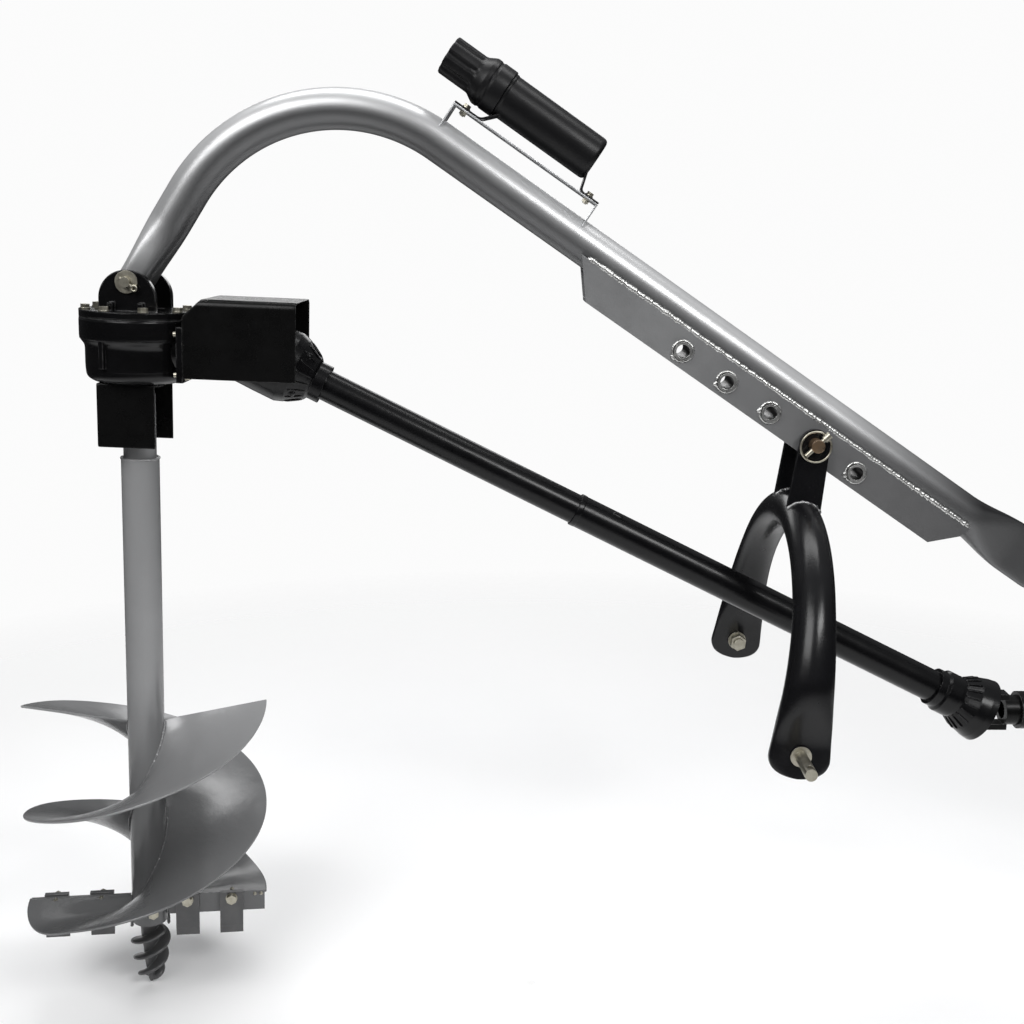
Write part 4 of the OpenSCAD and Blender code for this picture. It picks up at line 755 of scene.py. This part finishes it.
makePiece("frontBellFins", finRow(frontSpot, bellShape["front"], bellShape["frontFins"], 1, bellShape),
          "tubePlastic", "front_shield", sharp=35)
makePiece("rearBellFins", finRow(rearSpot, bellShape["rear"], bellShape["rearFins"], -1, bellShape),
          "tubePlastic", "rear_shield", sharp=35)
oneCatch = tubeCatch(tubeShape["catchX"], tubeShape["catchAngle"], tubeShape["rearR"], tubeShape["catchSize"])
makePiece("rearTubeCollar", [stepCollar(tubeShape), oneCatch], "tubePlastic", "rear_shield",
          sharp=35)
makePiece("bellCatches", [tubeCatch(bellShape["catchX"], angle, bellShape["catchR"], bellShape["catchSize"])
                          for angle in bellShape["catchAngles"]],
          "tubePlastic", "front_shield", sharp=35)
print("stage: driveline")

# Lift yoke: one skin from foot to foot over the arch
yokeShape = dict(archR=320, sweep=84, crown=145, length=519, r=38.1, footHalf=56, footThick=9, footDrop=44,
                 footRows=(20, 15, 10, 6, 3, 1.2, 0.4, 0), sides=64, square=6.0, flareFrom=-46, spreadFrom=-190)
yokeArc, archZ = deg(yokeShape["sweep"]), -yokeShape["crown"] - yokeShape["archR"]
legY = yokeShape["archR"] * math.sin(yokeArc)
legZ = archZ + yokeShape["archR"] * math.cos(yokeArc)
footRun = (yokeShape["length"] + legZ) / math.cos(deg(90 - yokeShape["sweep"]))


def yokeSkin(look):
    # A round section runs over the arc, then eases into a wide thin foot whose end rounds off to the fourth power
    total, archR, r = footRun + look["footDrop"], look["archR"], look["r"]
    down = join([np.linspace(4, total - 26, 44), total - np.array(look["footRows"])])
    arc, flat = np.linspace(-yokeArc, yokeArc, 150), np.ones(len(down))
    aside, away = math.cos(yokeArc), math.sin(yokeArc)
    y = join([-(legY + down[::-1] * aside), archR * np.sin(arc), legY + down * aside])
    z = join([legZ - down[::-1] * away, archZ + archR * np.cos(arc), legZ - down * away])
    ny = join([-away * flat, np.sin(arc), away * flat])
    nz = join([aside * flat, np.cos(arc), aside * flat])
    beyond = join([down[::-1], archR * (np.abs(arc) - yokeArc), down])
    t = ease((beyond - look["flareFrom"]) / (footRun - 12 - look["flareFrom"]))
    spread = np.clip((beyond - look["spreadFrom"]) / (footRun + 10 - look["spreadFrom"]), 0, 1) ** 1.7
    wide = r + (look["footHalf"] - r) * spread
    thick = r + (look["footThick"] - r) * t
    square = 2 + (look["square"] - 2) * t ** 2
    end = np.clip((beyond - (footRun - 14)) / (total - footRun + 14), 0, 1)
    wide = wide * np.clip(1 - end ** 4, 0.0016, 1) ** 0.5
    c, s = circle(look["sides"])
    power = (2 / square)[:, None]
    across, out = wide[:, None] * bulge(c, power), thick[:, None] * bulge(s, power)
    return skinPart(yokeSpot, across, y[:, None] + out * ny[:, None], z[:, None] + out * nz[:, None])


yoke = makePiece("yokeSkin", [yokeSkin(yokeShape)], "glossBlack", "lift_yoke", sharp=50)
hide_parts("lift_yoke")

earShape = dict(faces=(53.5, 65.4), beadR=3.6, beadAt=38.4, seatR=38.6, reach=33)
earBeads = []
for side in (-1, 1):
    for face in earShape["faces"]:
        # the bead follows the tube's round top where the ear's face meets it
        a = np.linspace(-1, 1, 60) * math.asin(earShape["reach"] / earShape["seatR"])
        drop = archZ + math.sqrt(yokeShape["archR"] ** 2 - face ** 2)
        path = xyz(earShape["beadAt"] * np.sin(a), side * face, drop + earShape["beadAt"] * np.cos(a))
        earBeads.append(bead(yokeSpot, path, earShape["beadR"], int(face) + side, pitch=5.0, sides=10))
makePiece("earWelds", earBeads, "darkWeld", "lift_yoke", sharp=0)

wrinkleShape = dict(count=7, step=0.052, reach=0.85, less=0.06, at=37.6, beadR=1.5)
wrinkles = []
for k in range(wrinkleShape["count"]):
    # pressed wrinkles inside the crown: thin beads across the underside of the tube, shorter away from its middle
    off = k - wrinkleShape["count"] // 2
    at = off * wrinkleShape["step"]
    a = np.linspace(-wrinkleShape["reach"], wrinkleShape["reach"], 26) * (1 - wrinkleShape["less"] * abs(off))
    radial = yokeShape["archR"] - wrinkleShape["at"] * np.cos(a)
    path = xyz(wrinkleShape["at"] * np.sin(a), radial * math.sin(at), archZ + radial * math.cos(at))
    wrinkles.append(bead(yokeSpot, path, wrinkleShape["beadR"], 90 + k, pitch=30.0, sides=8, up=(0, 1.0, 0.2)))
makePiece("crownWrinkles", wrinkles, "glossBlack", "lift_yoke", sharp=0)
print("stage: lift yoke")

# Auger: smooth dished flights, their welds and the twisted pilot
augerShape = dict(turn=10, pitch=461, top=848, outR=242.5, inR=36.6, dish=38, thick=5, steps=220, overrun=1.004,
                  levelFrom=0.83, levelTo=0.985, levelAt=-1278.6, wave=0.7, waves=37)
flightWeld = dict(at=37.7, r=3.4, gap=1.2, hubAt=35.2, hubZ=-340.6, hubR=3.0)


def flightSkin(look, extra):
    # A helicoid: height falls with the turn and with the way in from the rim, with a slight wave towards the rim.
    # Over its last part it levels out, so that it ends flush with the top of the cutter plate
    run = np.linspace(0, look["overrun"], look["steps"] + 1)[:, None]
    a = deg(look["turn"] + extra) - run[:, 0] * 2 * np.pi
    ro, ri, th = look["outR"], look["inR"], look["thick"]
    r = join([np.linspace(ri, ro - 3, 9), [ro - 0.9, ro, ro, ro - 0.9], np.linspace(ro - 3, ri, 9)])
    lift = join([np.zeros(9), [-0.3, -1.4, -th + 1.4, -th + 0.3], np.full(9, -float(th))])
    dish = -look["dish"] * (ro - r) / (ro - ri)
    wave = look["wave"] * np.sin(run * look["waves"] + extra) * ((r - ri) / (ro - ri)) ** 2
    z = -look["top"] - run * look["pitch"] + dish + lift + wave
    level = ease((run - look["levelFrom"]) / (look["levelTo"] - look["levelFrom"]))
    z = z * (1 - level) + (look["levelAt"] + lift) * level
    return skinPart(gearSpot, r * np.cos(a)[:, None], r * np.sin(a)[:, None], z)


for label, extra in (("a", 0), ("b", 180)):
    flight = makePiece("flightSkin_" + label, [flightSkin(augerShape, extra)], "augerPaint", "auger",
                       sharp=45)
    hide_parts("auger_flight_" + label)

flightBeads = []
for extra in (0, 180):
    for over, gap in ((1, flightWeld["gap"]), (-1, -augerShape["thick"] - flightWeld["gap"])):
        # beads run down the pipe above and below each flight's inner edge
        t = np.linspace(0.004, 0.996, 330)
        a = deg(augerShape["turn"] + extra) - t * 2 * np.pi
        z = -augerShape["top"] - t * augerShape["pitch"] - augerShape["dish"] + gap
        path = xyz(flightWeld["at"] * np.cos(a), flightWeld["at"] * np.sin(a), z)
        flightBeads.append(bead(gearSpot, path, flightWeld["r"], extra + over + 5, pitch=6.5, sides=8,
                                up=(0, 0, 1.0)))
t = np.linspace(0, 2 * np.pi, 121)
path = xyz(flightWeld["hubAt"] * np.cos(t), flightWeld["hubAt"] * np.sin(t), flightWeld["hubZ"])
flightBeads.append(bead(gearSpot, path, flightWeld["hubR"], 7, pitch=5.0, sides=8, ring=True, up=(0, 0, 1.0)))
makePiece("flightWelds", flightBeads, "augerPaint", "auger", sharp=0)

edgeBolt = dict(xs=(218, 231), y=-8.1, z=-1285, r=4.2, high=4)


def domeHead(spot, x, look):
    # A low dome: a quarter ellipse turned round an axis along y, facing the front of its frame
    t = np.linspace(0, np.pi / 2, 8)
    wall = np.stack([look["y"] - (look["high"] * np.sin(t) - 1), look["r"] * np.clip(np.cos(t), 0.03, 1)], -1)
    return lathe(spot, wall, "y", 20, (x, 0, look["z"]))


def plateSpot(angle):  # the gearbox frame turned about the auger's axis by this many degrees
    c, s = math.cos(deg(angle)), math.sin(deg(angle))
    return (gearSpot[0], np.array([[c, s, 0], [-s, c, 0], [0, 0, 1]]) @ gearSpot[1])


edgeBolts = [domeHead(plateSpot(augerShape["turn"] + extra), x, edgeBolt)
             for extra in (0, 180) for x in edgeBolt["xs"]]
makePiece("edgeBolts", edgeBolts, "zinc", "auger", sharp=30)

pilotShape = dict(top=-1334, len=150, plugR=31.2, plugLen=59.9, coreR=20, pointR=3, hammer=0.5,
                  bladeR=43, lowR=29, pitch=78, turns=1.62, half=5.5)


def pilotCore(look):
    # A turned core: plug in the pipe, shoulder, then a taper with a slightly hollow flank
    e, t = look["top"], np.linspace(0, 1, 24)
    flank = np.stack([e - 20 - (look["len"] - 22) * t, look["coreR"] * (1 - t) ** 0.7 + look["pointR"] * t], -1)
    wall = np.vstack([[(e + look["plugLen"], look["plugR"]), (e + 0.4, look["plugR"]), (e + 0.2, 27), (e - 4, 25)],
                      flank])

    def hammered(x, r, angle):
        return look["hammer"] * np.sin(5 * angle + x * 0.11) * (x < e - 6)

    return lathe(gearSpot, wall, "z", 64, lobe=hammered)


def pilotBlade(look, extra):
    # A coarse thick helicoid whose rim closes in towards the point; its section is a superellipse
    t = np.linspace(0, 1, 150)
    a = deg(extra) - t * look["turns"] * 2 * np.pi
    ro = (look["bladeR"] + (look["lowR"] - look["bladeR"]) * t ** 1.6) * np.clip(1 - t ** 14, 0.02, 1) ** 0.5
    ro = ro * np.clip(t / 0.05, 0.2, 1) ** 0.5
    z = look["top"] - 13 - t * look["turns"] * look["pitch"]
    c, s = circle(20)
    share, lift = 0.5 + 0.5 * bulge(c, 0.7), look["half"] * bulge(s, 0.8)
    r = np.clip(ro[:, None] * share, 1.5, None)
    return skinPart(gearSpot, r * np.cos(a)[:, None], r * np.sin(a)[:, None], z[:, None] + lift)


pilot = makePiece("pilotScrew", [pilotCore(pilotShape), pilotBlade(pilotShape, 0), pilotBlade(pilotShape, 180)],
                  "toothSteel", "auger", sharp=50)
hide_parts("pilot_bit")
print("stage: auger")

# Plain pale floor, in metres, that fades into the background
floorShape = dict(low=float(cadBox[0][2]) - 0.004, middle=-1.0, rings=(0.01, 0.8, 1.6, 2.4, 3.2, 4.0, 5.0), cols=96,
                  fade=(1.4, 3.4), rough=0.7, cloud=(2.0, 3), tones=(0.95, 0.98))
c, s = circle(floorShape["cols"])
ringR = np.array(floorShape["rings"])[:, None]
floorPts = xyz(ringR * c + floorShape["middle"], ringR * s, floorShape["low"])
floor = meshObject("floor", floorPts.reshape(-1, 3), gridQuads(len(ringR), len(c)).tolist())
floorPaint = bpy.data.materials.new("paleFloor")
floorPaint.use_nodes = True
tree = floorPaint.node_tree
shader = tree.nodes["Principled BSDF"]
place = tree.nodes.new("ShaderNodeTexCoord").outputs["Object"]
off = vectorNode(tree, "DISTANCE", place, (floorShape["middle"], 0.0, floorShape["low"]), "Value")
cloud = noiseNode(tree, place, *floorShape["cloud"])
feed(tree, shader.inputs, {"Alpha": rangeNode(tree, off, *floorShape["fade"], 1.0, 0.0),
                           "Base Color": mixColor(tree, cloud, *floorShape["tones"]),
                           "Roughness": floorShape["rough"]})
floor.data.materials.append(floorPaint)

# Background: white to the camera, a dim sky that is brighter above to everything else
sky = dict(seen=1.0, seenPower=0.97, low=(0.05, 0.05, 0.052), high=(0.78, 0.79, 0.81), span=(0.0, 0.85),
           power=0.5)
world = bpy.data.worlds.new("studio")
bpy.context.scene.world = world
world.use_nodes = True
tree = world.node_tree
seen, lit = tree.nodes["Background"], tree.nodes.new("ShaderNodeBackground")
upward = axisOf(tree, tree.nodes.new("ShaderNodeTexCoord").outputs["Generated"], "Z")
skyTone = mixColor(tree, rangeNode(tree, upward, *sky["span"]), sky["low"], sky["high"])
feed(tree, seen.inputs, dict(Color=sky["seen"], Strength=sky["seenPower"]))
feed(tree, lit.inputs, dict(Color=skyTone, Strength=sky["power"]))
choice = tree.nodes.new("ShaderNodeMixShader")
toCamera = tree.nodes.new("ShaderNodeLightPath").outputs["Is Camera Ray"]
feed(tree, choice.inputs, {0: toCamera, 1: lit.outputs[0], 2: seen.outputs[0]})
feed(tree, tree.nodes["World Output"].inputs, dict(Surface=choice.outputs[0]))

# Soft studio lamps: place, aim, width, height and watts
lamps = dict(
    keyBox=((-3.3, -3.6, 3.4), (-1.2, 0, 0.1), 3.4, 2.6, 190),
    topBox=((-0.9, 0.5, 3.4), (-1.0, 0, 0), 3.8, 1.1, 70),
    fillBox=((1.2, -3.0, 2.7), (-0.6, 0, 0), 2.0, 0.9, 85),
    rimBox=((-1.4, 3.4, 1.6), (-1.0, 0, 0.2), 3.0, 1.0, 25))
for name, (at, aim, wide, high, power) in lamps.items():
    data = bpy.data.lights.new(name, "AREA")
    data.shape, data.size, data.size_y, data.energy = "RECTANGLE", wide, high, power
    lamp = bpy.data.objects.new(name, data)
    bpy.context.scene.collection.objects.link(lamp)
    lamp.location = at
    way = np.array(aim) - np.array(at)
    lamp.rotation_euler = (math.acos(-way[2] / np.linalg.norm(way)), 0, math.atan2(way[1], way[0]) - math.pi / 2)
bpy.context.scene.view_settings.view_transform = "Standard"
print("stage: floor and light")
